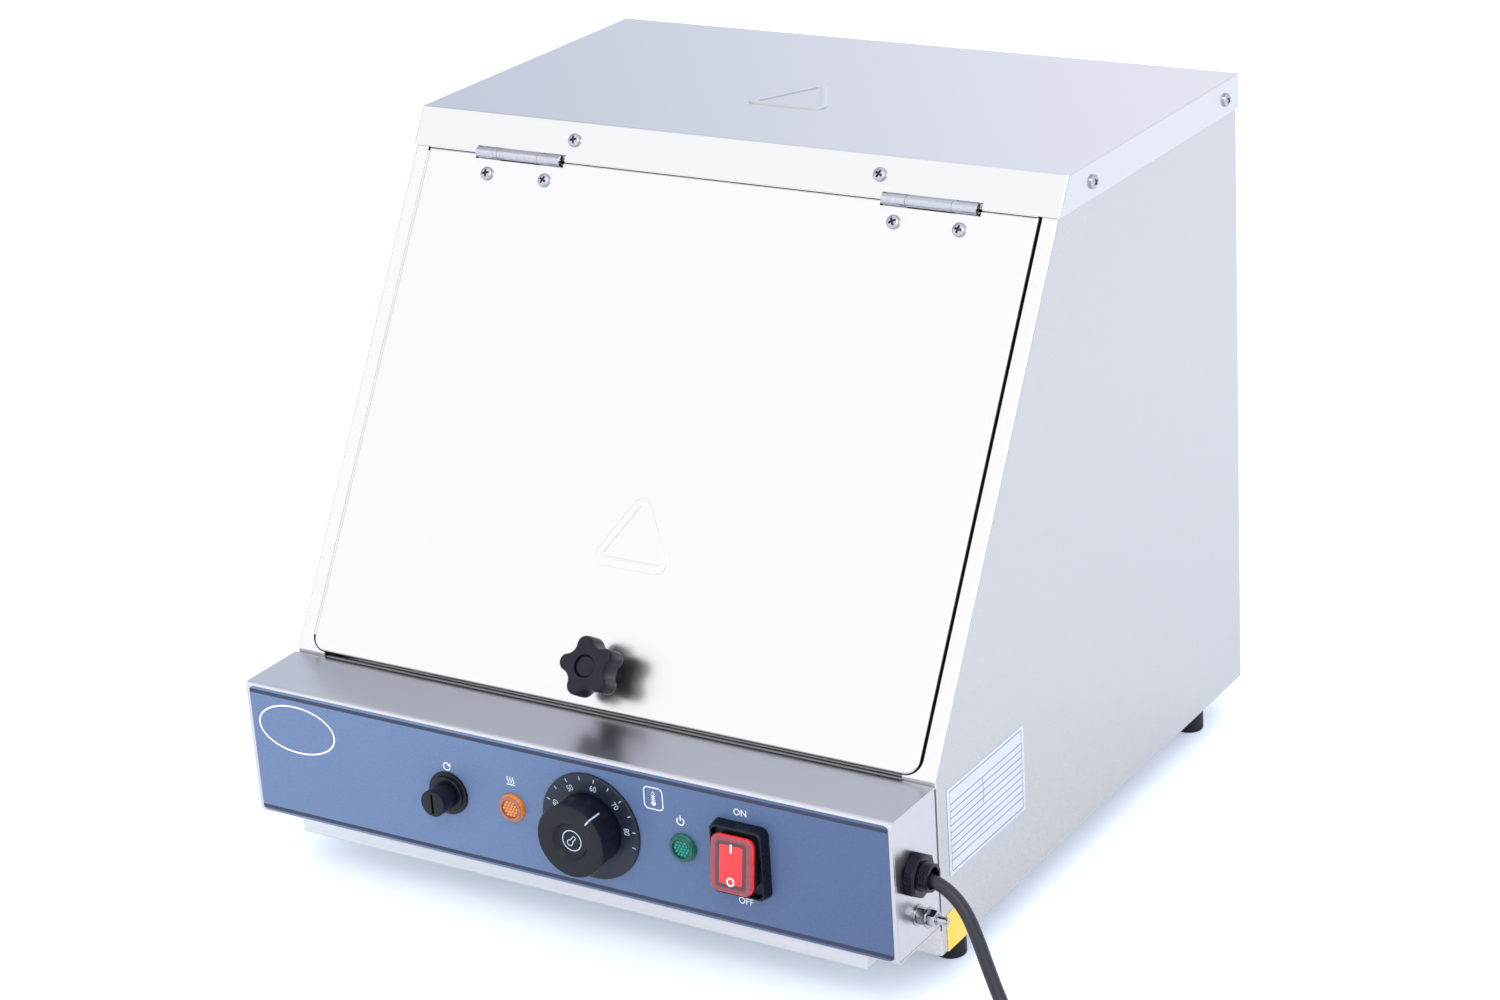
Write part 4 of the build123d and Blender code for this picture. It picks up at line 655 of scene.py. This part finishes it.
ring_profile = rounded(
    ((4.6, FILM), (4.6, 0.8), (18.9, 0.8), (18.9, RING_FACE), (29.5, RING_FACE), (29.5, FILM), (4.6, FILM)),
    {3: 0.25, 4: 0.6},
)
finish_piece("thermostat_scale", lathe(ring_profile, 144), THERMOSTAT, dial_black, "cabinet",
             ("thermostat_dial",))
ticks = bmesh.new()
for index in range(TICKS):
    angle = math.radians(FIRST_TICK - TICK_STEP * index)
    outward = Vector((math.cos(angle), math.sin(angle)))
    ribbon(ticks, (outward * TICK_FROM, outward * TICK_TO), 0.5, RING_FACE, RING_FACE + 0.04)
finish_piece("scale_ticks", ticks, THERMOSTAT, dial_ink, "cabinet")
for number, angle in NUMBERS:
    turned = Matrix.Rotation(math.radians(angle - 90), 4, "Z")
    seat = THERMOSTAT @ at(0, 0, RING_FACE + 0.02) @ turned @ at(0, NUMBER_OUT)
    lettering(f"scale_number_{number}", str(number), 4.7, seat, dial_ink, 0.86)

knob_profile = rounded(
    ((0.0, 14.0), (3.05, 14.0), (3.05, 1.5), (18.3, 1.5), (20.0, 20.6), (10.6, 20.6), (8.6, 18.5), (0.0, 18.4)),
    {3: 0.3, 4: 0.9, 5: 0.5, 6: 1.6}, 7,
)
finish_piece("knob_skirt", lathe(knob_profile, 144), THERMOSTAT, satin_black, "thermostat_knob",
             ("thermostat_knob",))

to_pointer = Matrix.Rotation(math.radians(POINTER_AT), 3, "Z")
knob_print = bmesh.new()
# pointer: over the face, round the rim and down the skirt
pointer = ((15.8, 20.63), (18.9, 20.63), (19.45, 20.5), (19.8, 20.2), (19.98, 19.7), (19.95, 19.0), (19.15, 10.4))
rows = [
    [knob_print.verts.new(to_pointer @ Vector((radius, side * 0.45, height))) for side in (-1, 1)]
    for radius, height in pointer
]
for one, two in zip(rows, rows[1:]):
    knob_print.faces.new((one[0], one[1], two[1], two[0]))
bmesh.ops.solidify(knob_print, geom=knob_print.faces[:], thickness=0.05)
# small thermometer in a ring, in the dish
ribbon(knob_print, arc(0, 0, 5.6, 0, 356, 89), 0.55, 18.40, 18.56, closed=True)
stem = ((2.0, -0.85), (2.9, -0.85), (2.9, 0.85), (-0.4, 0.85))
bulb = arc(-1.9, 0, 1.6, 35, 320, 19)
glass = [(to_pointer @ Vector((*point, 0))).to_2d() for point in (*stem, *bulb, (-0.4, -0.85), stem[0])]
ribbon(knob_print, glass, 0.5, 18.40, 18.52)
finish_piece("knob_marks", knob_print, THERMOSTAT, dial_ink, "thermostat_knob")


# ---- reset -----------------------------------------------------------------------------------------------------
# A gloss black collar fixes the high-limit cut-out to the panel. A satin cap with fine grips and a coin slot screws
# over the button and keeps dirt out.
RESET = PANEL @ at(RESET_X, 0)
CAP_RADIUS, CAP_FACE = 7.4, 15.5
GRIPS, GRIP_DEPTH = 40, 0.16
COIN_SLOT = (1.4, 11.0, 3.0)       # width, length, twice the depth

gloss_black = dress(plastic("black_moulding", (0.003, 0.004, 0.009), 0.27, 1600.0, 0.06, shine=0.28))
dress(satin_black, "reset_collar", "reset_cap")

collar = rounded(
    ((5.1, FILM), (5.1, 3.8), (10.15, 3.8), (10.15, 2.2), (12.0, 2.2), (12.0, FILM), (5.1, FILM)),
    {2: 0.55, 3: 0.12, 4: 0.6},
)
finish_piece("reset_ring", lathe(collar, 96), RESET, gloss_black, "cabinet", ("reset_collar",))


def gripped(entry, angle):
    """Fine grips round the cap's wall."""
    radius, height = entry
    on_wall = radius > 7.0 and 5.0 < height < 14.4
    return (radius - GRIP_DEPTH * (0.5 + 0.5 * math.cos(GRIPS * angle)) if on_wall else radius), height


cap = rounded(
    ((0.0, 12.7), (5.05, 12.7), (5.05, 4.0), (CAP_RADIUS, 4.0), (CAP_RADIUS, CAP_FACE), (0.0, CAP_FACE)),
    {3: 0.3, 4: 0.6},
)
reset_cap = finish_piece("reset_knob", lathe(cap, 160, gripped), RESET, satin_black, "reset_cap",
                         ("reset_cap",))
coin_slot = bmesh.new()
bmesh.ops.create_cube(coin_slot, size=1.0, matrix=at(0, 0, CAP_FACE) @ Matrix.Diagonal((*COIN_SLOT, 1)))
slot_mesh = bpy.data.meshes.new("coin_slot")
coin_slot.to_mesh(slot_mesh)
coin_slot.free()
slot_mesh.transform(RESET)
cutter = bpy.data.objects.new("coin_slot", slot_mesh)
bpy.context.scene.collection.objects.link(cutter)
cut = reset_cap.modifiers.new("cut", "BOOLEAN")
cut.operation, cut.solver, cut.object = "DIFFERENCE", "EXACT", cutter
bpy.context.view_layer.update()
slotted = bpy.data.meshes.new_from_object(reset_cap.evaluated_get(bpy.context.evaluated_depsgraph_get()))
reset_cap.modifiers.clear()
slotted.name = "reset_knob_cut"
reset_cap.data = slotted
bpy.data.objects.remove(cutter)


# ---- indicator lamps -------------------------------------------------------------------------------------------
# Each neon lamp is a pale grey body behind the panel with a coloured lens snapped in from the front: a bright edge, a
# glossy ring, and a field of small domes that spread the light. Amber shows heating, green shows power.
def glowing(name, low, high, light, strength):
    """Patterned plastic that carries light."""
    finish = Finish(name)
    grain = finish.noise(900.0, 2.0)
    return finish.done(
        Base_Color=grain.span(0.3, 0.7).blend(low, high), Roughness=grain * 0.1 + 0.2, Emission_Color=light,
        Emission_Strength=strength, Coat_Weight=0.4,
    )


DOT_PITCH = 2.0
FIELD = 4.6
LAMP_LOOKS = {
    "amber": (
        glowing("amber_edge", (0.64, 0.15, 0.0), (0.80, 0.23, 0.005), (1.0, 0.30, 0.0), 0.06),
        plastic("amber_rim", (0.30, 0.105, 0.070), 0.20, 500.0, 0.03, 0.3, 0.2),
        plastic("amber_deep", (0.34, 0.070, 0.016), 0.30, 500.0, 0.03, 0.2, 0.3),
        glowing("amber_dots", (0.76, 0.30, 0.06), (0.88, 0.44, 0.14), (1.0, 0.45, 0.10), 0.08),
    ),
    "green": (
        glowing("green_edge", (0.0, 0.09, 0.055), (0.0, 0.16, 0.095), (0.0, 0.5, 0.2), 0.02),
        plastic("green_rim", (0.002, 0.075, 0.060), 0.20, 500.0, 0.03, 0.3, 0.2, 0.3),
        plastic("green_deep", (0.0, 0.10, 0.065), 0.30, 500.0, 0.03, 0.2, 0.3, 0.3),
        glowing("green_dots", (0.0, 0.20, 0.18), (0.0, 0.36, 0.32), (0.0, 0.55, 0.42), 0.04),
    ),
}

grey_moulding = dress(plastic("grey_moulding", (0.42, 0.43, 0.45), 0.45), "lamp_bodies")
for colour, node, x in (("amber", "heat_lamp_lens", HEAT_X), ("green", "power_lamp_lens", POWER_X)):
    edge_look, rim_look, deep_look, dot_look = LAMP_LOOKS[colour]
    lamp, seat, slot = colour + "_lamp", PANEL @ at(x, 0), colour + "_lens"
    edge = rounded(((5.3, FILM), (7.7, FILM), (7.7, 1.5), (7.2, 2.7), (5.3, 2.7), (5.3, FILM)), {2: 0.4, 3: 0.2})
    finish_piece(lamp + "_edge", lathe(edge, 96), seat, edge_look, "cabinet", (node,))
    rim = rounded(((5.2, 2.3), (7.1, 2.3), (6.9, 3.3), (5.2, 3.5), (5.2, 2.3)), {2: 0.4, 3: 0.25})
    finish_piece(lamp + "_ring", lathe(rim, 96), seat, rim_look, "cabinet")
    well = lathe([(0.02, 1.6), (5.4, 1.6), (5.4, 2.3), (0.02, 2.3)], 48)
    finish_piece(lamp + "_well", well, seat, deep_look, "cabinet")
    dots = bmesh.new()
    for row in range(-3, 4):
        for column in range(-3, 4):
            dot_x, dot_y = DOT_PITCH * (column + 0.5 * (row % 2)), DOT_PITCH * 0.866 * row
            if math.hypot(dot_x, dot_y) <= FIELD:
                known = len(dots.verts)
                lathe([(0.72, 2.2), (0.66, 2.6), (0.42, 2.9), (0.02, 3.0)], 8, build=dots)
                dots.verts.ensure_lookup_table()
                bmesh.ops.translate(dots, verts=dots.verts[known:], vec=(dot_x, dot_y, 0))
    finish_piece(lamp + "_dots", dots, seat, dot_look, "cabinet", angle=20.0)


# ---- mains switch ----------------------------------------------------------------------------------------------
# A gloss black bezel is snapped into the panel. In it rocks a lit switch under a rubber boot: folds and a web of black
# rubber, a clear red cap with a dark inlay, and a lit window with the two signs moulded in white.
SWITCH = PANEL @ at(SWITCH_X, 1.75)
ROCKER_AXIS = 3.0
ROCKER = SWITCH @ at(0, 0, ROCKER_AXIS) @ Matrix.Rotation(math.radians(-8.0), 4, "X") @ at(0, 0, -ROCKER_AXIS)
WINDOW_FACE = 12.06


def rounded_box(width, height, low, high, corner, edge, sides=10, steps=4, back_edge=0.0, build=None):
    """Block with round corners in plan and round front edges, and round back edges where they are given."""
    build = build or bmesh.new()

    def ring(inset, z):
        half_width, half_height, radius = width / 2 - inset, height / 2 - inset, max(0.05, corner - inset)
        x, y = half_width - radius, half_height - radius
        points = []
        for cx, cy, first in ((x, y, 0), (-x, y, 90), (-x, -y, 180), (x, -y, 270)):
            points += [build.verts.new((*point, z)) for point in arc(cx, cy, radius, first, first + 90, sides)]
        return points

    turns = [math.pi / 2 * step / steps for step in range(steps + 1)]
    rings = [ring(0, low)]
    if back_edge:
        rings = [ring(back_edge * (1 - math.sin(turn)), low + back_edge * (1 - math.cos(turn))) for turn in turns]
    rings += [ring(edge * (1 - math.cos(turn)), high - edge * (1 - math.sin(turn))) for turn in turns]
    skin(build, rings)
    build.faces.new(rings[0])
    build.faces.new(rings[-1])
    return build


dress(gloss_black, "switch_bezel", "switch_body")
rubber = plastic("black_rubber", (0.006, 0.007, 0.011), 0.50, 700.0, 0.3, shine=0.3)

boot = rounded_box(21.8, 24.6, 0.8, 9.6, 3.0, 0.3)
for low, high, reach in ((5.0, 6.4, 22.6), (6.9, 8.2, 23.2), (8.6, 9.6, 23.6)):
    rounded_box(reach, reach + 5.2, low, high, 4.2, 0.45, back_edge=0.45, build=boot)
finish_piece("rocker_boot", boot, ROCKER, rubber, "power_rocker")
finish_piece("boot_web", rounded_box(27.6, 35.0, 0.8, 3.4, 2.8, 0.5), SWITCH, rubber, "cabinet")

red_edge = glowing("red_edge", (0.80, 0.01, 0.015), (0.95, 0.03, 0.03), (1.0, 0.02, 0.02), 0.20)
finish_piece("rocker_edge", rounded_box(24.4, 29.8, 9.6, 11.5, 4.6, 0.3, steps=6), ROCKER, red_edge,
             "power_rocker", (), 40.0)
red_rim = plastic("red_clear_rim", (0.24, 0.036, 0.050), 0.24, 500.0, 0.03, 0.3, 0.25)
finish_piece("rocker_cap", rounded_box(24.1, 29.5, 11.0, 12.0, 4.5, 0.8, steps=6), ROCKER, red_rim,
             "power_rocker", ("power_rocker",), 40.0)
inlay = plastic("rocker_inlay", (0.060, 0.016, 0.030), 0.30, 800.0, 0.05, 0.4)
finish_piece("rocker_frame", rounded_box(17.8, 24.4, 11.6, 12.03, 1.8, 0.03, steps=3), ROCKER, inlay,
             "power_rocker")

lit = Finish("lit_window")
window_look = lit.done(
    Base_Color=lit.coordinate(2).span(0.064, 0.088).blend((0.60, 0.008, 0.014), (0.78, 0.020, 0.026)),
    Roughness=lit.noise(1500.0, 2.0) * 0.1 + 0.25, Emission_Color=(1.0, 0.03, 0.03), Emission_Strength=0.17,
    Coat_Weight=0.3,
)
finish_piece("rocker_window", rounded_box(13.4, 20.4, 11.6, WINDOW_FACE, 0.9, 0.04, steps=3), ROCKER, window_look,
             "power_rocker", ("rocker_lens",))
on_off = bmesh.new()
ribbon(on_off, ((0, 6.4), (0, 11.0)), 1.0, WINDOW_FACE, WINDOW_FACE + 0.04)
ribbon(on_off, arc(0, -8.8, 1.95, 0, 355, 71), 0.85, WINDOW_FACE, WINDOW_FACE + 0.04, closed=True)
finish_piece("rocker_signs", on_off, ROCKER, white_ink, "power_rocker")


# ---- cord gland ------------------------------------------------------------------------------------------------
# A threaded gland of gloss black nylon goes through the right end of the box and is held by a hexagonal nut. A rubber
# ring inside grips the cord.
GLAND = END @ at(-26.0, 79.3)
NUT_SIDES = 96
BARREL, BARREL_IN, BARREL_OUT = 7.5, -9.0, 11.0      # radius, and its ends inside and outside the box
NUT_ACROSS, NUT_THICK = 21.5, 6.0


def threaded(radius, depth, pitch, low, high, lead=0.6):
    """Screw thread between two heights on the outer wall of a lathe's profile."""
    def point(entry, angle):
        r, h = entry
        if r < radius - 0.01 or not low <= h <= high:
            return entry
        wave = 0.5 - 0.5 * math.cos(2 * math.pi * (h / pitch - angle / (2 * math.pi)))
        fade = max(0.0, min(1.0, (h - low) / lead, (high - h) / lead))
        return r - depth * wave ** 0.8 * fade - (1 - fade) * depth * 0.5, h
    return point


def wall(radius, low, high, step):
    """Profile points along a straight outer wall."""
    count = max(2, round((high - low) / step))
    return [(radius, low + (high - low) * index / count) for index in range(count + 1)]


def hex_nut(build, across, bore, start, height, turn=0.0):
    """Hexagonal nut with the curved chamfers of its corners."""
    inner = across * 0.475
    profile = (      # plain radius, share of the hexagon, height, share of the chamfer's drop
        (bore, 0, 0.3, 0), (bore + 0.3, 0, 0, 0), (inner, 0, 0, 0), (0, 1, 0, 1), (0, 1, height, -1),
        (inner, 0, height, 0), (bore + 0.3, 0, height, 0), (bore, 0, height - 0.3, 0), (bore, 0, 0.3, 0),
    )

    def point(entry, angle):
        plain, share, up, falls = entry
        flat = across / 2 / math.cos((angle - turn + math.pi / 6) % (math.pi / 3) - math.pi / 6)
        return plain + share * flat, start + up + falls * (flat - inner) * 0.55

    return lathe(profile, NUT_SIDES, point, build)


dress(gloss_black, "gland_body", "gland_locknut")
dress(rubber, "gland_seal")
barrel = [
    (5.5, BARREL_IN), *wall(BARREL, BARREL_IN, BARREL_OUT, 0.15),
    (7.1, 11.15), (5.9, 11.15), (5.5, 10.6), (5.5, BARREL_IN),
]
gland = lathe(barrel, 96, threaded(BARREL, 0.75, 1.5, BARREL_IN, BARREL_OUT))
lathe(rounded(((7.2, -5.0), (10.5, -5.0), (10.5, -1.0), (7.2, -1.0)), {1: 0.6}), 96, build=gland)
finish_piece("gland_barrel", gland, GLAND, gloss_black, "cabinet", ("gland_body",))
nut = hex_nut(bmesh.new(), NUT_ACROSS, BARREL + 0.05, 0.0, NUT_THICK)
finish_piece("gland_nut", nut, GLAND, gloss_black, "cabinet", ("gland_locknut",), 25.0)


# ---- earth stud ------------------------------------------------------------------------------------------------
# A plated M5 stud under the gland, for an earth bond, with a plain nose. One nut holds it from inside, and two nuts
# with washers clamp the bonding wire outside.
STUD = END @ at(-23.5, 55.5)
STUD_RADIUS, STUD_IN, THREAD_END = 2.5, -11.0, 11.2
STUD_NUTS = ((1.0, 0.2), (7.0, 0.9), (-5.0, 0.5))    # where each starts, and its turn
dress(brass, "earth_stud", "earth_nuts_washers")
shank = [
    (0.0, STUD_IN), *wall(STUD_RADIUS, STUD_IN, THREAD_END, 0.08),
    (2.1, 11.4), (2.05, 16.5), (1.6, 17.0), (0.0, 17.0),
]
bolt = lathe(shank, 48, threaded(STUD_RADIUS, 0.4, 0.8, STUD_IN, THREAD_END))
finish_piece("earth_bolt", bolt, STUD, bright_steel, "cabinet", ("earth_stud",))
stud_nuts = bmesh.new()
for low in (0.0, 6.0):
    washer = rounded(((2.55, low), (5.5, low), (5.5, low + 1.0), (2.55, low + 1.0), (2.55, low)), {1: 0.2, 2: 0.2})
    lathe(washer, 64, build=stud_nuts)
for low, turn in STUD_NUTS:
    hex_nut(stud_nuts, 8.0, 2.55, low, 4.0, turn)
finish_piece("earth_nuts", stud_nuts, STUD, bright_steel, "cabinet", ("earth_nuts_washers",), 25.0)


# ---- wiring ----------------------------------------------------------------------------------------------------
# Inside the box, blue insulated wires run from a glazed ceramic terminal block to the controls and the element. Each
# is stranded copper in a soft plastic sleeve, and its bare end is held in the block by a screw.
dress(plastic("wire_blue", (0.04, 0.09, 0.35), 0.40), "internal_wiring")
dress(plastic("glazed_ceramic", (0.80, 0.78, 0.70), 0.18, 200.0, 0.1, 0.5, 0.05), "terminal_block")


# ---- rating plate and tag --------------------------------------------------------------------------------------
# A silver foil plate with ruled lines and a small plain yellow tag, both with an adhesive back, on the right side
# behind the box. Both are left without words.
SIDE = BENCH @ axes((198.8, 0, 0), (0, 1, 0), (1, 0, 0))      # back, up, outward from the right side panel
LABEL = 0.3
RULE = (LABEL, LABEL + 0.04)

dress(grey_moulding, "side_labels")
plate_width, plate_height = 81.5, 47.7
plate_seat = SIDE @ at(51.05, 83.95)
foil = plastic("label_foil", (0.54, 0.57, 0.63), 0.35, 600.0, 0.03, 0.1, 0.06)
finish_piece("rating_plate", rounded_box(plate_width, plate_height, 0.0, LABEL, 0.8, 0.06, steps=2), plate_seat, foil,
             "cabinet", ("side_labels",))
rules = bmesh.new()
ruled_width, ruled_height = plate_width - 5.0, plate_height - 4.0
right, top = ruled_width / 2, ruled_height / 2
ribbon(rules, ((-right, -top), (right, -top), (right, top), (-right, top)), 0.5, *RULE, closed=True)
for row in range(9):
    up = top - 7.2 - row * (ruled_height - 9.0) / 9
    ribbon(rules, ((-right, up), (right, up)), 0.42, *RULE)
ribbon(rules, ((-ruled_width * 0.05, top - 7.2), (-ruled_width * 0.05, 0.0)), 0.42, *RULE)
finish_piece("rating_plate_rules", rules, plate_seat, print_ink("grey_ink", (0.06, 0.07, 0.12)), "cabinet")
yellow = plastic("yellow_tag", (0.86, 0.56, 0.06), 0.40, 800.0, 0.04, 0.2, 0.08)
finish_piece("side_tag", rounded_box(20.6, 20.7, 0.0, LABEL, 0.6, 0.06, steps=2), SIDE @ at(15.1, 30.65), yellow,
             "cabinet")


# ---- mains cord ------------------------------------------------------------------------------------------------
# Three-core flexible cord with a black sheath. It leaves the gland, drops to the counter and lies there in a put-away
# coil: three turns inwards, then three outwards on top, never quite round. Its tail runs to the plug.
CORD_RADIUS = 3.4
CORD_EXIT = (196.5, -26.0, 78.2)
DROP = (
    CORD_EXIT, (207.5, -26.0, 78.8), (218.9, -26.8, 75.3), (228.3, -28.8, 68.0), (235.0, -31.0, 57.7),
    (241.8, -34.0, 44.7), (249.6, -37.8, 31.3), (260.0, -42.9, 17.5), (273.0, -48.7, 6.6), (289.0, -56.3, 3.4),
)
TAIL = ((268.6, -156.6, 9.4), (256.2, -162.2, 5.6), (246.6, -169.8, 6.6), (238.4, -179.6, 9.0))
COIL_X, COIL_Y = 270.5, -104.0
COIL_RADIUS, COIL_PITCH = 49.3, 6.9
LOWER, UPPER = 3.45, 10.4                    # heights of the two layers
INWARD, CLIMB, OUTWARD = 2.95, 0.25, 3.13    # turns
COIL_STEP, COIL_FIRST = 22.5, 46.0           # degrees

# turn by turn: inwards on the counter, up onto the first layer, then outwards on top of it
coil = []
for index in range(round(360 * (INWARD + CLIMB + OUTWARD) / COIL_STEP) + 1):
    turn = index * COIL_STEP / 360
    angle = COIL_FIRST - 360 * turn
    if turn < INWARD:
        radius, height = COIL_RADIUS - COIL_PITCH * turn, LOWER
        radius *= 1 + 0.010 * math.cos(math.radians(angle - 40))
    elif turn < INWARD + CLIMB:
        radius, height = COIL_RADIUS - COIL_PITCH * INWARD, LOWER + (UPPER - LOWER) * (turn - INWARD) / CLIMB
    else:
        radius, height = COIL_RADIUS + 0.5 - COIL_PITCH * INWARD + COIL_PITCH * (turn - INWARD - CLIMB), UPPER
        radius *= 1 + 0.014 * math.cos(math.radians(angle + 150))
    radius /= math.cos(math.radians(COIL_STEP / 2)) ** 0.5
    coil.append((
        COIL_X + radius * math.cos(math.radians(angle)), COIL_Y + radius * math.sin(math.radians(angle)), height
    ))

sheathing = dress(
    plastic("cord_sheath", (0.010, 0.012, 0.020), 0.38, 900.0, 0.2, shine=0.46), "power_cord", "cord_coil", "cord_tail"
)
curve = bpy.data.curves.new("mains_lead", "CURVE")
curve.dimensions = "3D"
curve.bevel_depth = CORD_RADIUS / 1000
curve.bevel_resolution = 6
curve.resolution_u = 8
curve.use_fill_caps = True
route = [*DROP, *coil, *TAIL]
spline = curve.splines.new("NURBS")
spline.points.add(len(route) - 1)
for spot, point in zip(spline.points, route):
    spot.co = (*(BENCH @ Vector(point)), 1.0)
spline.order_u = 3
spline.use_endpoint_u = True
cord = bpy.data.objects.new("mains_lead", curve)
bpy.context.scene.collection.objects.link(cord)
curve.materials.append(sheathing)
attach(cord, "cabinet")
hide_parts("power_cord", "cord_coil", "cord_tail")


# ---- mains plug ------------------------------------------------------------------------------------------------
# A three-pin plug moulded on the cord in gloss black plastic, lying on its back with its plated pins up. A ribbed
# sleeve keeps the cord from kinking where it enters.
PLUG_WIDTH, PLUG_THICK, PLUG_MIDDLE = 50.0, 21.0, 37.0
RIBS, RIB_STEP = 5, 2.3

dress(gloss_black, "mains_plug")
dress(brass, "plug_pins")
cord_end, cord_before = Vector(TAIL[-1]), Vector(TAIL[-2])
into_plug = cord_end - cord_before
PLUG = BENCH @ axes((cord_end.x, cord_end.y, 0), (into_plug.x, into_plug.y, 0), (0, 0, 1))
plug = rounded_box(PLUG_WIDTH, PLUG_WIDTH, 0.0, PLUG_THICK, 11.0, 2.2, sides=14, steps=6, back_edge=4.0)
bmesh.ops.translate(plug, verts=plug.verts, vec=(PLUG_MIDDLE, 0, 0))
finish_piece("plug_body", plug, PLUG, gloss_black, "cabinet", ("mains_plug",), 40.0)
sleeve = [(3.45, 0.0), (4.4, 0.0)]
for index in range(RIBS):
    low, rib = 0.8 + index * RIB_STEP, 5.0 + 0.15 * index
    sleeve += [(4.5 + 0.2 * index, low), (rib, low + 0.3), (rib, low + 1.4), (4.4 + 0.2 * index, low + 1.7)]
sleeve += [(5.6, 12.5), (5.6, 15.0)]
lying = Matrix(((0, 0, 1, 0), (0, 1, 0, 0), (-1, 0, 0, cord_end.z), (0, 0, 0, 1)))
finish_piece("plug_relief", lathe(sleeve, 48), PLUG @ lying, gloss_black, "cabinet")


# ---- feet and crumb tray ---------------------------------------------------------------------------------------
# Four black rubber feet are screwed under the base. The crumb tray is a shallow folded tray of brushed stainless that
# slides out on its runners under the control box.
dress(rubber, "feet")
dress(brushed("tray_steel", (0.64, 0.65, 0.67), ACROSS, 0.30, 0.04, 0.03), "crumb_tray")


# ---- counter, room and camera ----------------------------------------------------------------------------------
# The warmer stands on a pale counter in a white studio. The room is white in front and greyer above and behind, so
# that the steel has something to show, and one soft lamp gives the shadows.
counter_mesh = bpy.data.meshes.new("floor")
counter_build = bmesh.new()
bmesh.ops.create_grid(counter_build, x_segments=1, y_segments=1, size=14.0)
counter_build.to_mesh(counter_mesh)
counter_build.free()
counter = bpy.data.objects.new("floor", counter_mesh)
pale = Finish("pale_floor")
seen = pale.node("LightPath", {}, {}, "Is Camera Ray")
counter_mesh.materials.append(pale.done(
    Base_Color=pale.noise(6.0, 2.0).blend((0.90, 0.91, 0.94), (0.92, 0.93, 0.95)), Roughness=0.9,
    Emission_Color=seen.blend((0.115, 0.118, 0.12), (0.18, 0.23, 0.30)), Emission_Strength=1.0,
))
bpy.context.scene.collection.objects.link(counter)

world = bpy.data.worlds.new("studio")
bpy.context.scene.world = world
room = Tree(world)
room.inner.nodes.clear()
x, y, z = (room.coordinate(index, "Generated") for index in range(3))
behind = x.span(-0.64, -0.36).blend((0.76, 0.81, 0.97), (1.15, 1.18, 1.30))
high = x.span(-0.62, -0.42).blend((0.70, 0.72, 0.84), (1.22, 1.27, 1.44))
light = y.span(-0.52, -0.12).blend((1.52, 1.52, 1.53), z.span(0.45, 0.75).blend(behind, high))
lit_room = room.node("Background", {}, {"Color": light})
plain_white = room.node("Background", {}, {"Color": (1, 1, 1)})
seen = room.node("LightPath", {}, {}, "Is Camera Ray")
shown = room.node("MixShader", {}, {0: seen, 1: lit_room, 2: plain_white})
output = room.inner.nodes.new("ShaderNodeOutputWorld")
room.fill(output.inputs["Surface"], shown)

KEY_AT, KEY_AIM = Vector((1.3, -2.0, 2.4)), Vector((0, 0, 0.1))
key_data = bpy.data.lights.new("key", "AREA")
key_data.shape = "SQUARE"
key_data.size = 1.2
key_data.energy = 16.0
key = bpy.data.objects.new("key", key_data)
key.matrix_world = axes(KEY_AT, Vector((0, 0.01, 1)).cross(KEY_AT - KEY_AIM), KEY_AT - KEY_AIM)
bpy.context.scene.collection.objects.link(key)

CAMERA_AT = (944.4, -1302.3, 868.2)
azimuth, elevation, roll = math.radians(32.9), math.radians(21.71), math.radians(-3.77)
back = Vector((
    math.sin(azimuth) * math.cos(elevation), -math.cos(azimuth) * math.cos(elevation), math.sin(elevation)
))
level = (-back).cross(Vector((0, 0, 1))).normalized()
lens = bpy.data.cameras.new("camera")
lens.lens = 82.03
lens.sensor_width = 36.0
lens.sensor_fit = "HORIZONTAL"
lens.clip_end = 60.0
camera = bpy.data.objects.new("camera", lens)
camera.matrix_world = axes(
    BENCH @ Vector(CAMERA_AT), math.cos(roll) * level + math.sin(roll) * level.cross(-back), back
)
bpy.context.scene.collection.objects.link(camera)
bpy.context.scene.camera = camera
bpy.context.scene.view_settings.view_transform = "Standard"
